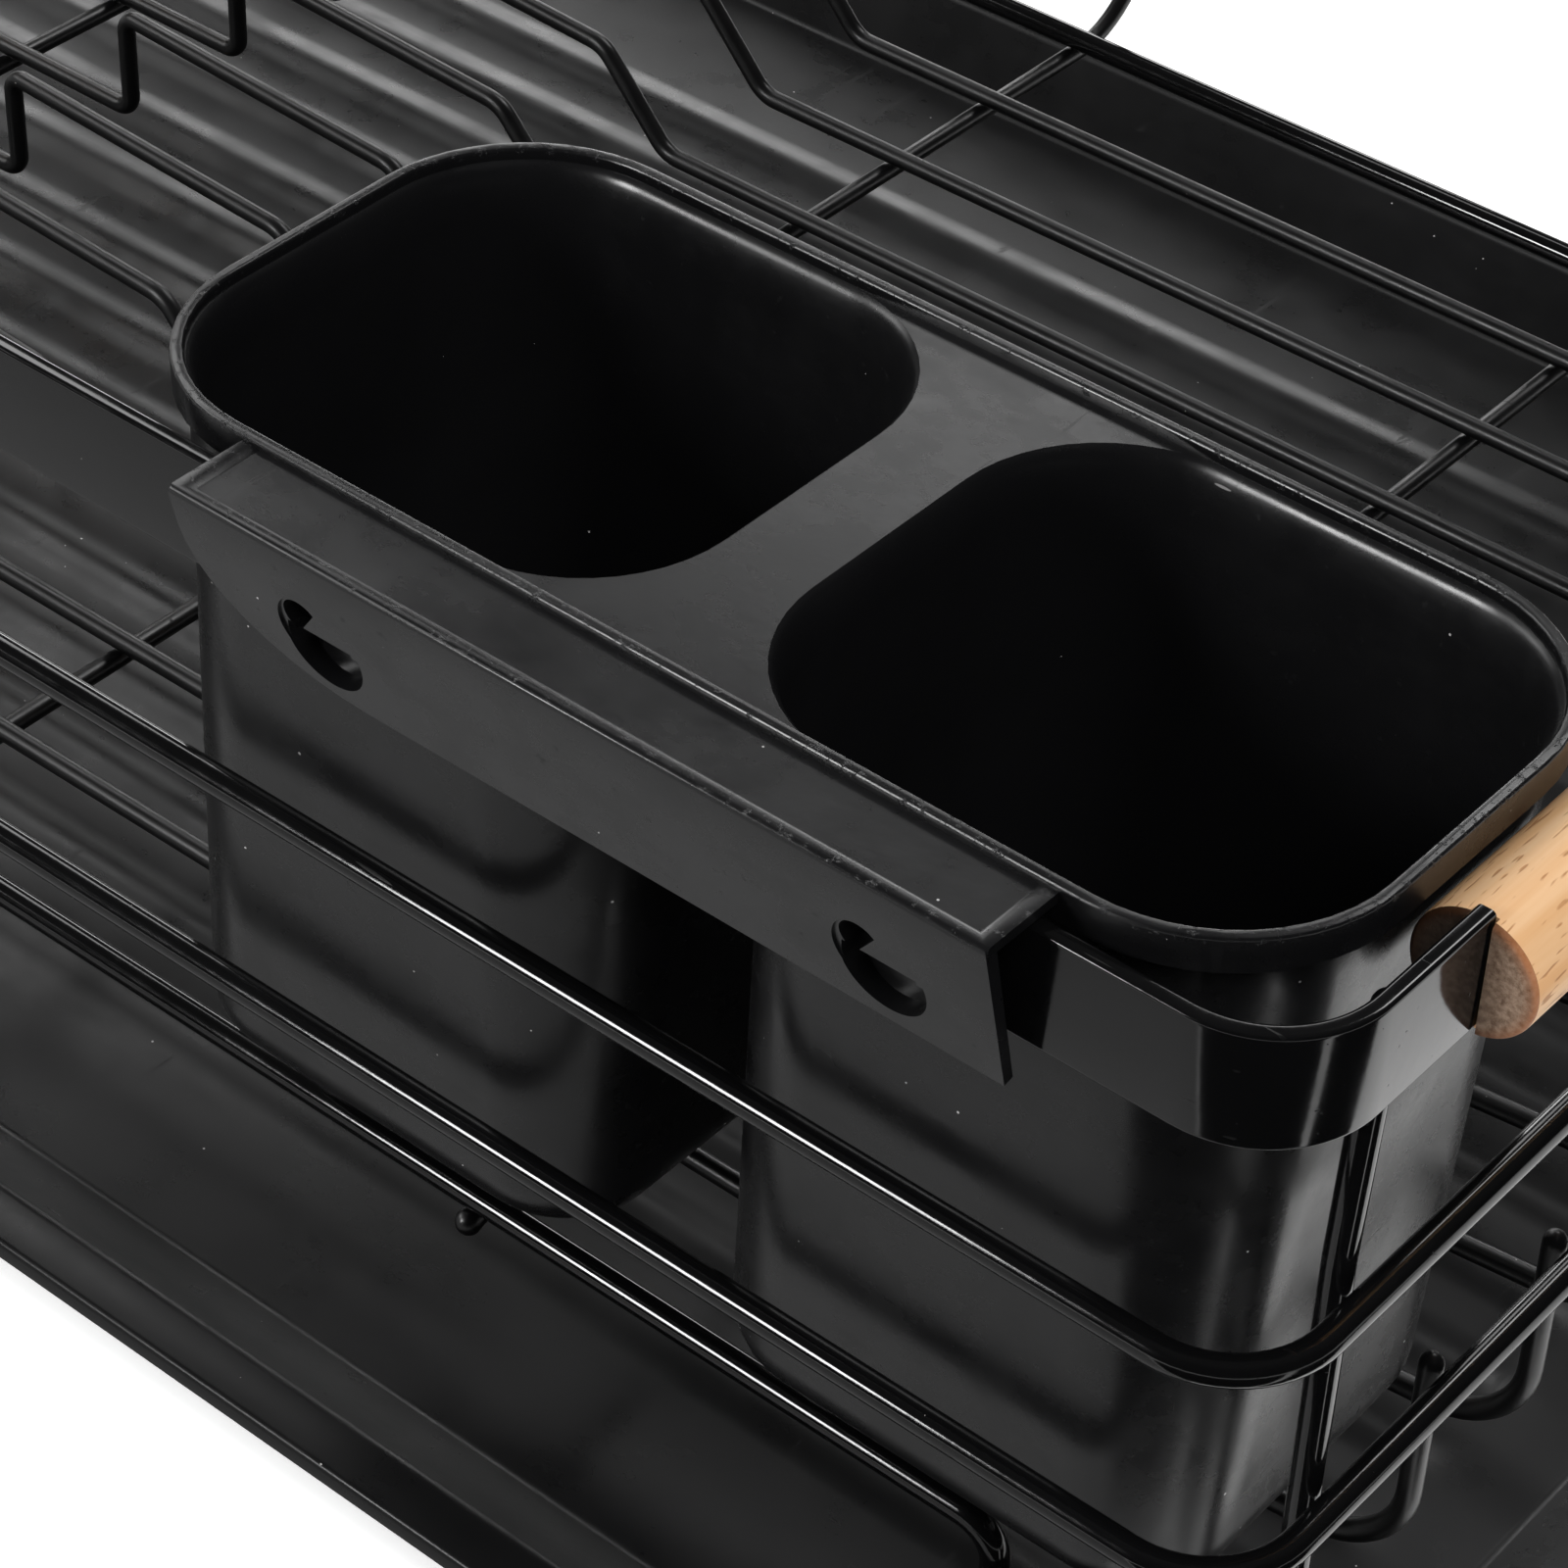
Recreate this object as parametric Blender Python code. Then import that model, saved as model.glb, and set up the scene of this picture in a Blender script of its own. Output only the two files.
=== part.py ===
"""Dish drainer: a wire rack with wooden handles that stands in a drip tray, and a hooked cutlery holder.

The origin is at the centre of the tray's underside. +X runs along the rack's length, +Y to its back and +Z up.
Lengths are in metres.
"""

import math

import bmesh
import bpy
from mathutils import Vector

# Rack, measured outside its rim band
RACK_LENGTH = 0.480
RACK_DEPTH = 0.320
RACK_HEIGHT = 0.1475
CLEARANCE = 0.0003
OVERRUN = 0.004

# Drip tray
TRAY_OVERHANG = 0.0096
TRAY_HEIGHT = 0.0115
TRAY_WALL = 0.0017
TRAY_CORNER_RADIUS = 0.028
TRAY_LIP_WIDTH = 0.0075
TRAY_LIP_DROP = 0.0028
TRAY_LIP_ROUND = 0.0007
TRAY_SLOPE_RUN = 0.0135
RIB_COUNT = 9
RIB_PITCH = 0.0315
RIB_WIDTH = 0.014
RIB_TOP_WIDTH = 0.007
RIB_HEIGHT = 0.0016
RIB_END_MARGIN = 0.012

# Rim band of flat steel
BAND_HEIGHT = 0.015
BAND_THICKNESS = 0.00225
BAND_EDGE_ROUND = 0.00055
BAND_CORNER_RADIUS = 0.0145
BAND_END_SETBACK = 0.0334
TONGUE_LENGTH = 0.009
TONGUE_HEIGHT = 0.008
TONGUE_THICKNESS = 0.0016

# Wooden handles
HANDLE_DIAMETER = 0.015
HANDLE_DROP = 0.0083
HANDLE_END_SETBACK = 0.031
HANDLE_CHAMFER = 0.0006

# Rings of round wire
FRAME_WIRE = 0.00375
RING_INSET = 0.0016
RING_UPPER_DROP = 0.0472
RING_LOWER_DROP = 0.0782

# Leg frames
LEG_FRONT_SETBACK = 0.0215
LEG_BACK_SETBACK = 0.025
FOOT_LENGTH = 0.039
FOOT_OUTER_BEND = 0.011
FOOT_INNER_BEND = 0.005
LEG_TOP_DROP = 0.006

# Floor wires and their plate dividers
FLOOR_WIRE = 0.0030
FLOOR_DROP = 0.1160
FLOOR_WIRE_PITCH = 0.025
FLOOR_WIRE_FIRST = 0.045
FLOOR_END_BEND = 0.014
FLOOR_END_LIFT = 0.005
FLOOR_END_RUN = 0.042
FLOOR_END_RISE = 0.0018
DIVIDER_OUTER_END = 0.3434
DIVIDER_KINK = 0.283
DIVIDER_INNER_END = 0.2690
DIVIDER_HEIGHT = 0.0180
DIVIDER_KINK_HEIGHT = 0.0150
DIVIDER_BEND = 0.0028
DIVIDER_SOFT_BEND = 0.006

# Cross bars under the floor wires
CROSS_BAR_PLACES = (0.1274, 0.242, 0.374)
CROSS_BAR_FRONT = 0.0185
CROSS_BAR_BEND = 0.0175
BALL_DIAMETER = 0.0037

# Cutlery holder
HOLDER_SIDE_GAP = 0.0070
HOLDER_FRONT_GAP = 0.0037
HOLDER_RIM_RISE = 0.003
HOLDER_LIP = 0.0016
HOLDER_RIM_DEPTH = 0.0044
HOLDER_WEB_DROP = 0.0015
CUP_LENGTH = 0.0725
CUP_WIDTH = 0.0666
CUP_GAP = 0.0118
CUP_CORNER_RADIUS = 0.0205
CUP_STEP = 0.0003
CUP_WALL = 0.0015
CUP_DRAFT_LENGTH = 0.0022
CUP_DRAFT_WIDTH = 0.0036
CUP_LEAN_LEFT = 0.0020
CUP_LEAN_FRONT = 0.0024
CUP_BOTTOM_CORNER = 0.014
CUP_BOTTOM_DROP = 0.0993
CUP_BOTTOM_ROUND = 0.009

# Hook that hangs the holder on the band
HOOK_RIGHT = 0.032
HOOK_LEFT = 0.1425
HOOK_THICKNESS = 0.0018
HOOK_REACH = 0.0078
HOOK_TOE_REACH = 0.0028
HOOK_DEPTH = 0.0190
HOOK_SHOULDER = 0.0008
HOOK_CORNER_LENGTH = 0.024
HOOK_CORNER_HEIGHT = 0.016
KEYHOLE_PLACES = (0.0464, 0.1230)
KEYHOLE_DROP = 0.0094
KEYHOLE_DIAMETER = 0.011
KEYHOLE_TAB = 0.0035
NECK_DIAMETER = 0.0038
NECK_OFFSET = 0.0040
NECK_RISE = 0.0014

CORNER_STEPS = 6
BEND_STEPS = 4
SOFT_STEPS = 2
ROUND_SIDES = 24
WIRE_RESOLUTION = 2
END_SHARES = (0.28, 0.6, 1.0)
BOTTOM_SHARES = (0.0, 0.34, 0.67, 1.0)
RIB_ROUND_SHARE = 0.98

TRAY_BLACK = (0.018, 0.018, 0.019)
STEEL_BLACK = (0.010, 0.010, 0.011)
HOLDER_BLACK = (0.014, 0.014, 0.015)
BEECH = (0.62, 0.38, 0.20)

# Levels and sides that follow from the sizes above
FOOT_LEVEL = TRAY_WALL + CLEARANCE
RIM_TOP = FOOT_LEVEL + RACK_HEIGHT
RIGHT = RACK_LENGTH / 2
FRONT = -RACK_DEPTH / 2
FRAME_RADIUS = FRAME_WIRE / 2
FLOOR_RADIUS = FLOOR_WIRE / 2
FLOOR_LEVEL = RIM_TOP - FLOOR_DROP
BAR_LEVEL = FLOOR_LEVEL - FLOOR_WIRE - CLEARANCE
SHAFT_INSET = RING_INSET + FRAME_RADIUS + CLEARANCE + FLOOR_RADIUS
SHAFT_TOP = RIM_TOP - RING_LOWER_DROP + FLOOR_END_RISE
FLOOR_WIRE_COUNT = 1 + math.floor((RACK_DEPTH - 2 * FLOOR_WIRE_FIRST) / FLOOR_WIRE_PITCH)
HOLDER_LENGTH = 2 * CUP_LENGTH + CUP_GAP + 2 * HOLDER_LIP
HOLDER_WIDTH = CUP_WIDTH + 2 * HOLDER_LIP


def clear_scene():
    """Remove every object, so that the model stands alone."""
    for item in list(bpy.data.objects):
        bpy.data.objects.remove(item, do_unlink=True)


def make_material(name, colour, roughness, metallic=0.0):
    """Return a Principled material in one colour."""
    material = bpy.data.materials.new(name)
    material.use_nodes = True
    shader = material.node_tree.nodes["Principled BSDF"]
    shader.inputs["Base Color"].default_value = (*colour, 1.0)
    shader.inputs["Roughness"].default_value = roughness
    shader.inputs["Metallic"].default_value = metallic
    return material


def add_object(name, data, material, parent=None, location=(0, 0, 0), turn=0.0):
    """Link an object that shows the data, under its parent."""
    item = bpy.data.objects.new(name, data)
    bpy.context.collection.objects.link(item)
    item.location = location
    item.rotation_euler = (0, 0, turn)
    item.parent = parent
    if material and not data.materials:
        data.materials.append(material)
    return item


def add_empty(name, location, parent=None):
    """Link an empty that carries one moving body."""
    item = bpy.data.objects.new(name, None)
    bpy.context.collection.objects.link(item)
    item.location = location
    item.parent = parent
    return item


def smooth(mesh):
    """Shade the mesh smooth, with its real edges kept sharp."""
    mesh.shade_smooth()
    mesh.set_sharp_from_angle(angle=math.radians(38))


def rounded_rectangle(half_x, half_y, radius, centre=(0, 0)):
    """Return the plan points of a rectangle with round corners, anticlockwise from its right side."""
    points = []
    for quarter, (sign_x, sign_y) in enumerate(((1, 1), (-1, 1), (-1, -1), (1, -1))):
        for step in range(CORNER_STEPS + 1):
            angle = math.radians(90) * (quarter + step / CORNER_STEPS)
            x = centre[0] + sign_x * (half_x - radius) + radius * math.cos(angle)
            y = centre[1] + sign_y * (half_y - radius) + radius * math.sin(angle)
            points.append((x, y))
    return points


def loft(name, loops):
    """Return a closed mesh that joins the loops in turn and caps the first and the last."""
    shape = bmesh.new()
    rings = [[shape.verts.new(point) for point in loop] for loop in loops]
    for low, high in zip(rings, rings[1:]):
        for index in range(len(low)):
            after = (index + 1) % len(low)
            shape.faces.new((low[index], low[after], high[after], high[index]))
    shape.faces.new(list(reversed(rings[0])))
    shape.faces.new(rings[-1])
    bmesh.ops.recalc_face_normals(shape, faces=shape.faces)
    mesh = bpy.data.meshes.new(name)
    shape.to_mesh(mesh)
    shape.free()
    smooth(mesh)
    return mesh


def level_loop(outline, level):
    """Return the outline's plan points at one level."""
    return [(x, y, level) for x, y in outline]


def prism(name, outline, low, high):
    """Return an upright prism on a plan outline."""
    return loft(name, [level_loop(outline, low), level_loop(outline, high)])


def box(name, low, high):
    """Return a box between two corners."""
    outline = [(low[0], low[1]), (high[0], low[1]), (high[0], high[1]), (low[0], high[1])]
    return prism(name, outline, low[2], high[2])


def side_prism(name, outline, left, right):
    """Return a prism along X on an outline of (y, z) points."""
    return loft(name, [[(left, y, z) for y, z in outline], [(right, y, z) for y, z in outline]])


def front_prism(name, outline, near, far):
    """Return a prism along Y on an outline of (x, z) points."""
    return loft(name, [[(x, near, z) for x, z in outline], [(x, far, z) for x, z in outline]])


def circle(radius, centre, sides=ROUND_SIDES):
    """Return the points of a circle in a plane."""
    turns = [math.tau * side / sides for side in range(sides)]
    return [(centre[0] + radius * math.cos(turn), centre[1] + radius * math.sin(turn)) for turn in turns]


def combine(target, name, mesh, operation, parent, location=(0, 0, 0), turn=0.0):
    """Join or cut the target with a hidden shape of its own."""
    shape = add_object(name, mesh, None, parent, location, turn)
    shape.hide_render = True
    shape.display_type = "WIRE"
    change = target.modifiers.new(name, "BOOLEAN")
    change.operation = operation
    change.object = shape
    change.solver = "EXACT"


def bent_path(corners, closed=False):
    """Return the points of a wire's centre line, each corner given as a point, a bend radius and its steps."""
    points = []
    count = len(corners)
    for index, (corner, radius, steps) in enumerate(corners):
        here = Vector(corner)
        if not closed and index in (0, count - 1):
            points.append(here)
            continue
        arriving = (here - Vector(corners[index - 1][0])).normalized()
        leaving = (Vector(corners[(index + 1) % count][0]) - here).normalized()
        turn = arriving.angle(leaving)
        inward = (leaving - arriving * arriving.dot(leaving)).normalized()
        start = here - arriving * radius * math.tan(turn / 2)
        for step in range(steps + 1):
            angle = turn * step / steps
            points.append(start + arriving * radius * math.sin(angle) + inward * radius * (1 - math.cos(angle)))
    return points


def wire_curve(name, points, shares, diameter, closed=False):
    """Return a round wire along the points, its thickness at each point a share of the diameter."""
    curve = bpy.data.curves.new(name, "CURVE")
    curve.dimensions = "3D"
    curve.bevel_depth = diameter / 2
    curve.bevel_resolution = WIRE_RESOLUTION
    curve.use_fill_caps = True
    line = curve.splines.new("POLY")
    line.points.add(len(points) - 1)
    for target, place, share in zip(line.points, points, shares):
        target.co = (*place, 1.0)
        target.radius = share
    line.use_cyclic_u = closed
    return curve


def rounded_end(tip, before, diameter, ball_share=1.0):
    """Return the points and thickness shares of a rounded wire end, from the tip inwards."""
    back = (before - tip).normalized()
    radius = diameter / 2 * ball_share
    turns = [math.radians(90) * share for share in END_SHARES]
    points = [tip + back * radius * (1 - math.cos(turn)) for turn in turns]
    shares = [ball_share * math.sin(turn) for turn in turns]
    if ball_share > 1:
        points.append(tip + back * radius * 2)
        shares.append(1.0)
    return points, shares


def round_ends(points, diameter, ball_shares=(1.0, 1.0)):
    """Return a wire's points and thickness shares with both ends rounded over, or swollen to a ball."""
    first, first_shares = rounded_end(points[0], points[1], diameter, ball_shares[0])
    last, last_shares = rounded_end(points[-1], points[-2], diameter, ball_shares[1])
    places = first + list(points[1:-1]) + list(reversed(last))
    shares = first_shares + [1.0] * (len(points) - 2) + list(reversed(last_shares))
    return places, shares


def tray_loop(inset, level):
    """Return the tray's outline at one level, drawn in from its outer edge."""
    half_x = RACK_LENGTH / 2 + TRAY_OVERHANG - inset
    half_y = RACK_DEPTH / 2 + TRAY_OVERHANG - inset
    return level_loop(rounded_rectangle(half_x, half_y, TRAY_CORNER_RADIUS - inset), level)


def rib_mesh():
    """Return one broad low rib with round ends and sloping sides, its foot sunk into the tray's floor."""
    half_length = RACK_LENGTH / 2 + TRAY_OVERHANG - TRAY_LIP_WIDTH - TRAY_SLOPE_RUN - RIB_END_MARGIN
    side_run = (RIB_WIDTH - RIB_TOP_WIDTH) / 2
    foot = rounded_rectangle(half_length, RIB_WIDTH / 2, RIB_WIDTH / 2 * RIB_ROUND_SHARE)
    crest = rounded_rectangle(half_length - side_run, RIB_TOP_WIDTH / 2, RIB_TOP_WIDTH / 2 * RIB_ROUND_SHARE)
    return loft("rib", [
        level_loop(foot, TRAY_WALL / 2),
        level_loop(foot, TRAY_WALL),
        level_loop(crest, TRAY_WALL + RIB_HEIGHT),
    ])


def add_tray():
    """Add the drip tray: a rim with a turned-down edge, sloping walls and a ribbed floor."""
    slope_end = TRAY_LIP_WIDTH + TRAY_SLOPE_RUN
    slope = math.atan2(TRAY_HEIGHT - TRAY_WALL, TRAY_SLOPE_RUN)
    wall_shift = TRAY_WALL * math.tan(slope / 2)
    mesh = loft("drip_tray", [
        tray_loop(slope_end - wall_shift, 0),
        tray_loop(TRAY_LIP_WIDTH - wall_shift, TRAY_HEIGHT - TRAY_WALL),
        tray_loop(TRAY_WALL, TRAY_HEIGHT - TRAY_WALL),
        tray_loop(TRAY_WALL, TRAY_HEIGHT - TRAY_LIP_DROP),
        tray_loop(0, TRAY_HEIGHT - TRAY_LIP_DROP),
        tray_loop(0, TRAY_HEIGHT - TRAY_LIP_ROUND),
        tray_loop(TRAY_LIP_ROUND, TRAY_HEIGHT),
        tray_loop(TRAY_LIP_WIDTH, TRAY_HEIGHT),
        tray_loop(slope_end, TRAY_WALL),
    ])
    tray = add_object("drip_tray", mesh, make_material("drip_tray", TRAY_BLACK, 0.42))
    rib = rib_mesh()
    for index in range(RIB_COUNT):
        place = (index - (RIB_COUNT - 1) / 2) * RIB_PITCH
        combine(tray, f"rib_guide_{index + 1}", rib, "UNION", tray, (0, place, 0))
    return tray


def band_mesh():
    """Return half of the rim band: the front run, both corners and the two stubs that end in the handles."""
    stub = FRONT + BAND_END_SETBACK
    corner = (BAND_CORNER_RADIUS - BAND_THICKNESS / 2, CORNER_STEPS)
    side = RIGHT - BAND_THICKNESS / 2
    face = FRONT + BAND_THICKNESS / 2
    middle = bent_path([
        ((side, stub, 0), 0, 1), ((side, face, 0), *corner), ((-side, face, 0), *corner), ((-side, stub, 0), 0, 1)])
    shape = bmesh.new()
    stations = []
    for index, here in enumerate(middle):
        along = (middle[min(index + 1, len(middle) - 1)] - middle[max(index - 1, 0)]).normalized()
        outward = Vector((-along.y, along.x, 0)) * (BAND_THICKNESS / 2)
        up = Vector((0, 0, RIM_TOP))
        down = Vector((0, 0, RIM_TOP - BAND_HEIGHT))
        stations.append([shape.verts.new(here + side + level)
                         for side, level in ((outward, up), (-outward, up), (-outward, down), (outward, down))])
    for near, far in zip(stations, stations[1:]):
        for index in range(4):
            after = (index + 1) % 4
            shape.faces.new((near[index], near[after], far[after], far[index]))
    shape.faces.new(stations[0])
    shape.faces.new(list(reversed(stations[-1])))
    bmesh.ops.recalc_face_normals(shape, faces=shape.faces)
    mesh = bpy.data.meshes.new("rim_band")
    shape.to_mesh(mesh)
    shape.free()
    smooth(mesh)
    return mesh


def add_bands(rack):
    """Add the front and back halves of the rim band, with a tongue on each end."""
    material = make_material("rim_band", STEEL_BLACK, 0.16)
    mesh = band_mesh()
    middle = RIM_TOP - HANDLE_DROP
    side = RIGHT - BAND_THICKNESS / 2
    stub = FRONT + BAND_END_SETBACK
    tongue = box("tongue", (-TONGUE_THICKNESS / 2, stub - TONGUE_LENGTH / 4, middle - TONGUE_HEIGHT / 2),
                 (TONGUE_THICKNESS / 2, stub + TONGUE_LENGTH, middle + TONGUE_HEIGHT / 2))
    for name, turn in (("rim_band_front", 0), ("rim_band_back", math.pi)):
        band = add_object(name, mesh, material, rack, turn=turn)
        edge = band.modifiers.new("rolled_edges", "BEVEL")
        edge.width = BAND_EDGE_ROUND
        edge.segments = 2
        edge.limit_method = "ANGLE"
        edge.angle_limit = math.radians(40)
        for hand, place in (("right", side), ("left", -side)):
            combine(band, f"{name}_tongue_{hand}", tongue, "UNION", band, (place, 0, 0))


def add_handles(rack):
    """Add the two turned wooden handles, each sawn at both ends for the band and its tongue."""
    material = make_material("handle", BEECH, 0.45)
    half_length = RACK_DEPTH / 2 - HANDLE_END_SETBACK
    radius = HANDLE_DIAMETER / 2
    outlines = [(half_length, radius - HANDLE_CHAMFER), (half_length - HANDLE_CHAMFER, radius)]
    stations = [(-place, size) for place, size in outlines] + [(place, size) for place, size in reversed(outlines)]
    mesh = loft("handle", [[(x, place, z) for x, z in circle(size, (0, 0))] for place, size in stations])
    slot_end = RACK_DEPTH / 2 - BAND_END_SETBACK - CLEARANCE
    pocket_end = slot_end - TONGUE_LENGTH
    half_slot = BAND_THICKNESS / 2 + CLEARANCE
    half_tongue = TONGUE_THICKNESS / 2 + CLEARANCE
    half_pocket = TONGUE_HEIGHT / 2 + CLEARANCE
    slot = box("slot", (-half_slot, slot_end, -HANDLE_DIAMETER), (half_slot, half_length + OVERRUN, HANDLE_DIAMETER))
    pocket = box("pocket", (-half_tongue, pocket_end, -half_pocket),
                 (half_tongue, half_length + OVERRUN, half_pocket))
    side = RIGHT - BAND_THICKNESS / 2
    for name, place in (("handle_right", side), ("handle_left", -side)):
        handle = add_object(name, mesh, material, rack, (place, 0, RIM_TOP - HANDLE_DROP))
        for end, turn in (("back", 0), ("front", math.pi)):
            combine(handle, f"{name}_slot_{end}", slot, "DIFFERENCE", handle, turn=turn)
            combine(handle, f"{name}_pocket_{end}", pocket, "DIFFERENCE", handle, turn=turn)


def add_rings(rack):
    """Add the two closed side rings of round wire, welded below the band."""
    half_x = RACK_LENGTH / 2 - RING_INSET
    half_y = RACK_DEPTH / 2 - RING_INSET
    bend = (BAND_CORNER_RADIUS - RING_INSET, CORNER_STEPS)
    corners = [((half_x, half_y, 0), *bend), ((-half_x, half_y, 0), *bend),
               ((-half_x, -half_y, 0), *bend), ((half_x, -half_y, 0), *bend)]
    path = bent_path(corners, closed=True)
    curve = wire_curve("ring", path, [1.0] * len(path), FRAME_WIRE, closed=True)
    material = make_material("side_ring", STEEL_BLACK, 0.16)
    for name, drop in (("ring_upper", RING_UPPER_DROP), ("ring_lower", RING_LOWER_DROP)):
        add_object(name, curve, material, rack, (0, 0, RIM_TOP - drop))


def leg_corners(side):
    """Return one side's half of a leg frame's corners, from the upright's top to the floor wire.

    The upright's top leans out from the upper ring to the rim band, which it carries.
    """
    top = RIGHT - BAND_THICKNESS - CLEARANCE - FRAME_RADIUS
    upright = RIGHT - RING_INSET - FRAME_WIRE - CLEARANCE
    inner = upright - FOOT_LENGTH
    foot = FOOT_LEVEL + FRAME_RADIUS
    crossing = BAR_LEVEL + FLOOR_RADIUS + CLEARANCE + FRAME_RADIUS
    return [
        ((side * top, 0, RIM_TOP - LEG_TOP_DROP), 0, 1),
        ((side * upright, 0, RIM_TOP - RING_UPPER_DROP + FRAME_WIRE), FOOT_OUTER_BEND, SOFT_STEPS),
        ((side * upright, 0, foot), FOOT_OUTER_BEND, BEND_STEPS),
        ((side * inner, 0, foot), FOOT_INNER_BEND, BEND_STEPS),
        ((side * inner, 0, crossing), FOOT_INNER_BEND, BEND_STEPS),
    ]


def add_legs(rack):
    """Add the front and back leg frames: uprights, feet and floor wire bent from one wire."""
    path = bent_path(leg_corners(1) + list(reversed(leg_corners(-1))))
    curve = wire_curve("leg_frame", *round_ends(path, FRAME_WIRE), FRAME_WIRE)
    material = make_material("leg_frame", STEEL_BLACK, 0.18)
    places = (("leg_frame_front", FRONT + LEG_FRONT_SETBACK), ("leg_frame_back", -FRONT - LEG_BACK_SETBACK))
    for name, place in places:
        add_object(name, curve, material, rack, (0, place, 0))


def add_floor_wires(rack):
    """Add the floor wires: ends turned up to the lower ring and a plate divider hump near one end."""
    shaft = RIGHT - SHAFT_INSET
    rise = SHAFT_TOP - FLOOR_LEVEL
    level_end = shaft - FLOOR_END_RUN
    end_bend = (FLOOR_END_BEND, CORNER_STEPS)
    gentle = (FLOOR_END_RUN, SOFT_STEPS)
    soft = (DIVIDER_SOFT_BEND, SOFT_STEPS)
    tight = (DIVIDER_BEND, BEND_STEPS)
    path = bent_path([
        ((shaft, 0, rise), 0, 1),
        ((shaft, 0, FLOOR_END_LIFT), *end_bend),
        ((level_end, 0, 0), *gentle),
        ((RIGHT - DIVIDER_INNER_END, 0, 0), *soft),
        ((RIGHT - DIVIDER_KINK, 0, DIVIDER_KINK_HEIGHT), *soft),
        ((RIGHT - DIVIDER_OUTER_END, 0, DIVIDER_HEIGHT), *tight),
        ((RIGHT - DIVIDER_OUTER_END, 0, 0), *tight),
        ((-level_end, 0, 0), *gentle),
        ((-shaft, 0, FLOOR_END_LIFT), *end_bend),
        ((-shaft, 0, rise), 0, 1),
    ])
    curve = wire_curve("floor_wire", *round_ends(path, FLOOR_WIRE), FLOOR_WIRE)
    material = make_material("floor_wire", STEEL_BLACK, 0.22)
    for index in range(FLOOR_WIRE_COUNT):
        place = FRONT + FLOOR_WIRE_FIRST + index * FLOOR_WIRE_PITCH
        add_object(f"floor_wire_{index + 1:02d}", curve, material, rack, (0, place, FLOOR_LEVEL))


def add_cross_bars(rack):
    """Add the bars that carry the floor wires, ball ended in front and bent up to the lower ring behind."""
    shaft = -FRONT - SHAFT_INSET
    rise = SHAFT_TOP - BAR_LEVEL
    path = bent_path([
        ((0, FRONT + CROSS_BAR_FRONT, 0), 0, 1),
        ((0, shaft, 0), CROSS_BAR_BEND, BEND_STEPS),
        ((0, shaft, rise), 0, 1),
    ])
    ends = round_ends(path, FLOOR_WIRE, (BALL_DIAMETER / FLOOR_WIRE, 1.0))
    curve = wire_curve("cross_bar", *ends, FLOOR_WIRE)
    material = make_material("cross_bar", STEEL_BLACK, 0.22)
    for index, place in enumerate(CROSS_BAR_PLACES):
        add_object(f"cross_bar_{index + 1}", curve, material, rack, (RIGHT - place, 0, BAR_LEVEL))


def cup_loop(place, level, half_x, half_y, corner, lean=0.0):
    """Return one level of a cup, a rectangle with round corners that leans left and forward by a share."""
    centre = (place - CUP_LEAN_LEFT * lean, -CUP_LEAN_FRONT * lean)
    return level_loop(rounded_rectangle(half_x, half_y, corner, centre), level)


def cup_shape(name, place, inset, depth, top):
    """Return a cup's tapered solid with a rounded bottom edge, drawn in from its opening's outline."""
    edge = CUP_BOTTOM_ROUND - inset
    half_x = CUP_LENGTH / 2 - inset
    half_y = CUP_WIDTH / 2 - inset
    loops = []
    for share in BOTTOM_SHARES:
        turn = math.radians(90) * share
        shrink = edge * (1 - math.sin(turn))
        loops.append(cup_loop(place, edge * (1 - math.cos(turn)) - depth, half_x - CUP_DRAFT_LENGTH - shrink,
                              half_y - CUP_DRAFT_WIDTH - shrink, CUP_BOTTOM_CORNER - inset - shrink, 1.0))
    loops.append(cup_loop(place, 0, half_x, half_y, CUP_CORNER_RADIUS - inset))
    loops.append(cup_loop(place, top, half_x, half_y, CUP_CORNER_RADIUS - inset))
    return loft(name, loops)


def keyhole_mesh():
    """Return a cutter along Y through the hook's toe, a disc whose upper half is left standing as a tab."""
    radius = KEYHOLE_DIAMETER / 2
    points = [(-radius + KEYHOLE_TAB * 2, -KEYHOLE_DROP)]
    for step in range(ROUND_SIDES // 2 - 1):
        turn = math.pi + math.tau * step / ROUND_SIDES
        points.append((radius * math.cos(turn), radius * math.sin(turn) - KEYHOLE_DROP))
    return front_prism("keyhole", points, -HOOK_REACH - OVERRUN, 0)


def neck_mesh():
    """Return the cutter for a keyhole's small round end, above the left end of the large one."""
    centre = (-NECK_OFFSET, NECK_RISE - KEYHOLE_DROP)
    return front_prism("neck", circle(NECK_DIAMETER / 2, centre, ROUND_SIDES // 2), -HOOK_REACH - OVERRUN, 0)


def hook_mesh():
    """Return the hook's section, a shelf over the band and a toe that leans back under it, run along X."""
    back = HOLDER_FRONT_GAP + HOLDER_LIP / 2
    inner = HOOK_REACH - HOOK_THICKNESS
    return side_prism("hook", [
        (back, CLEARANCE),
        (-inner, CLEARANCE),
        (-HOOK_TOE_REACH + HOOK_THICKNESS, -HOOK_DEPTH),
        (-HOOK_TOE_REACH, -HOOK_DEPTH),
        (-HOOK_REACH, CLEARANCE + HOOK_THICKNESS - HOOK_SHOULDER),
        (-HOOK_REACH + HOOK_SHOULDER, CLEARANCE + HOOK_THICKNESS),
        (back, CLEARANCE + HOOK_THICKNESS),
    ], -HOOK_LEFT, -HOOK_RIGHT)


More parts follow.
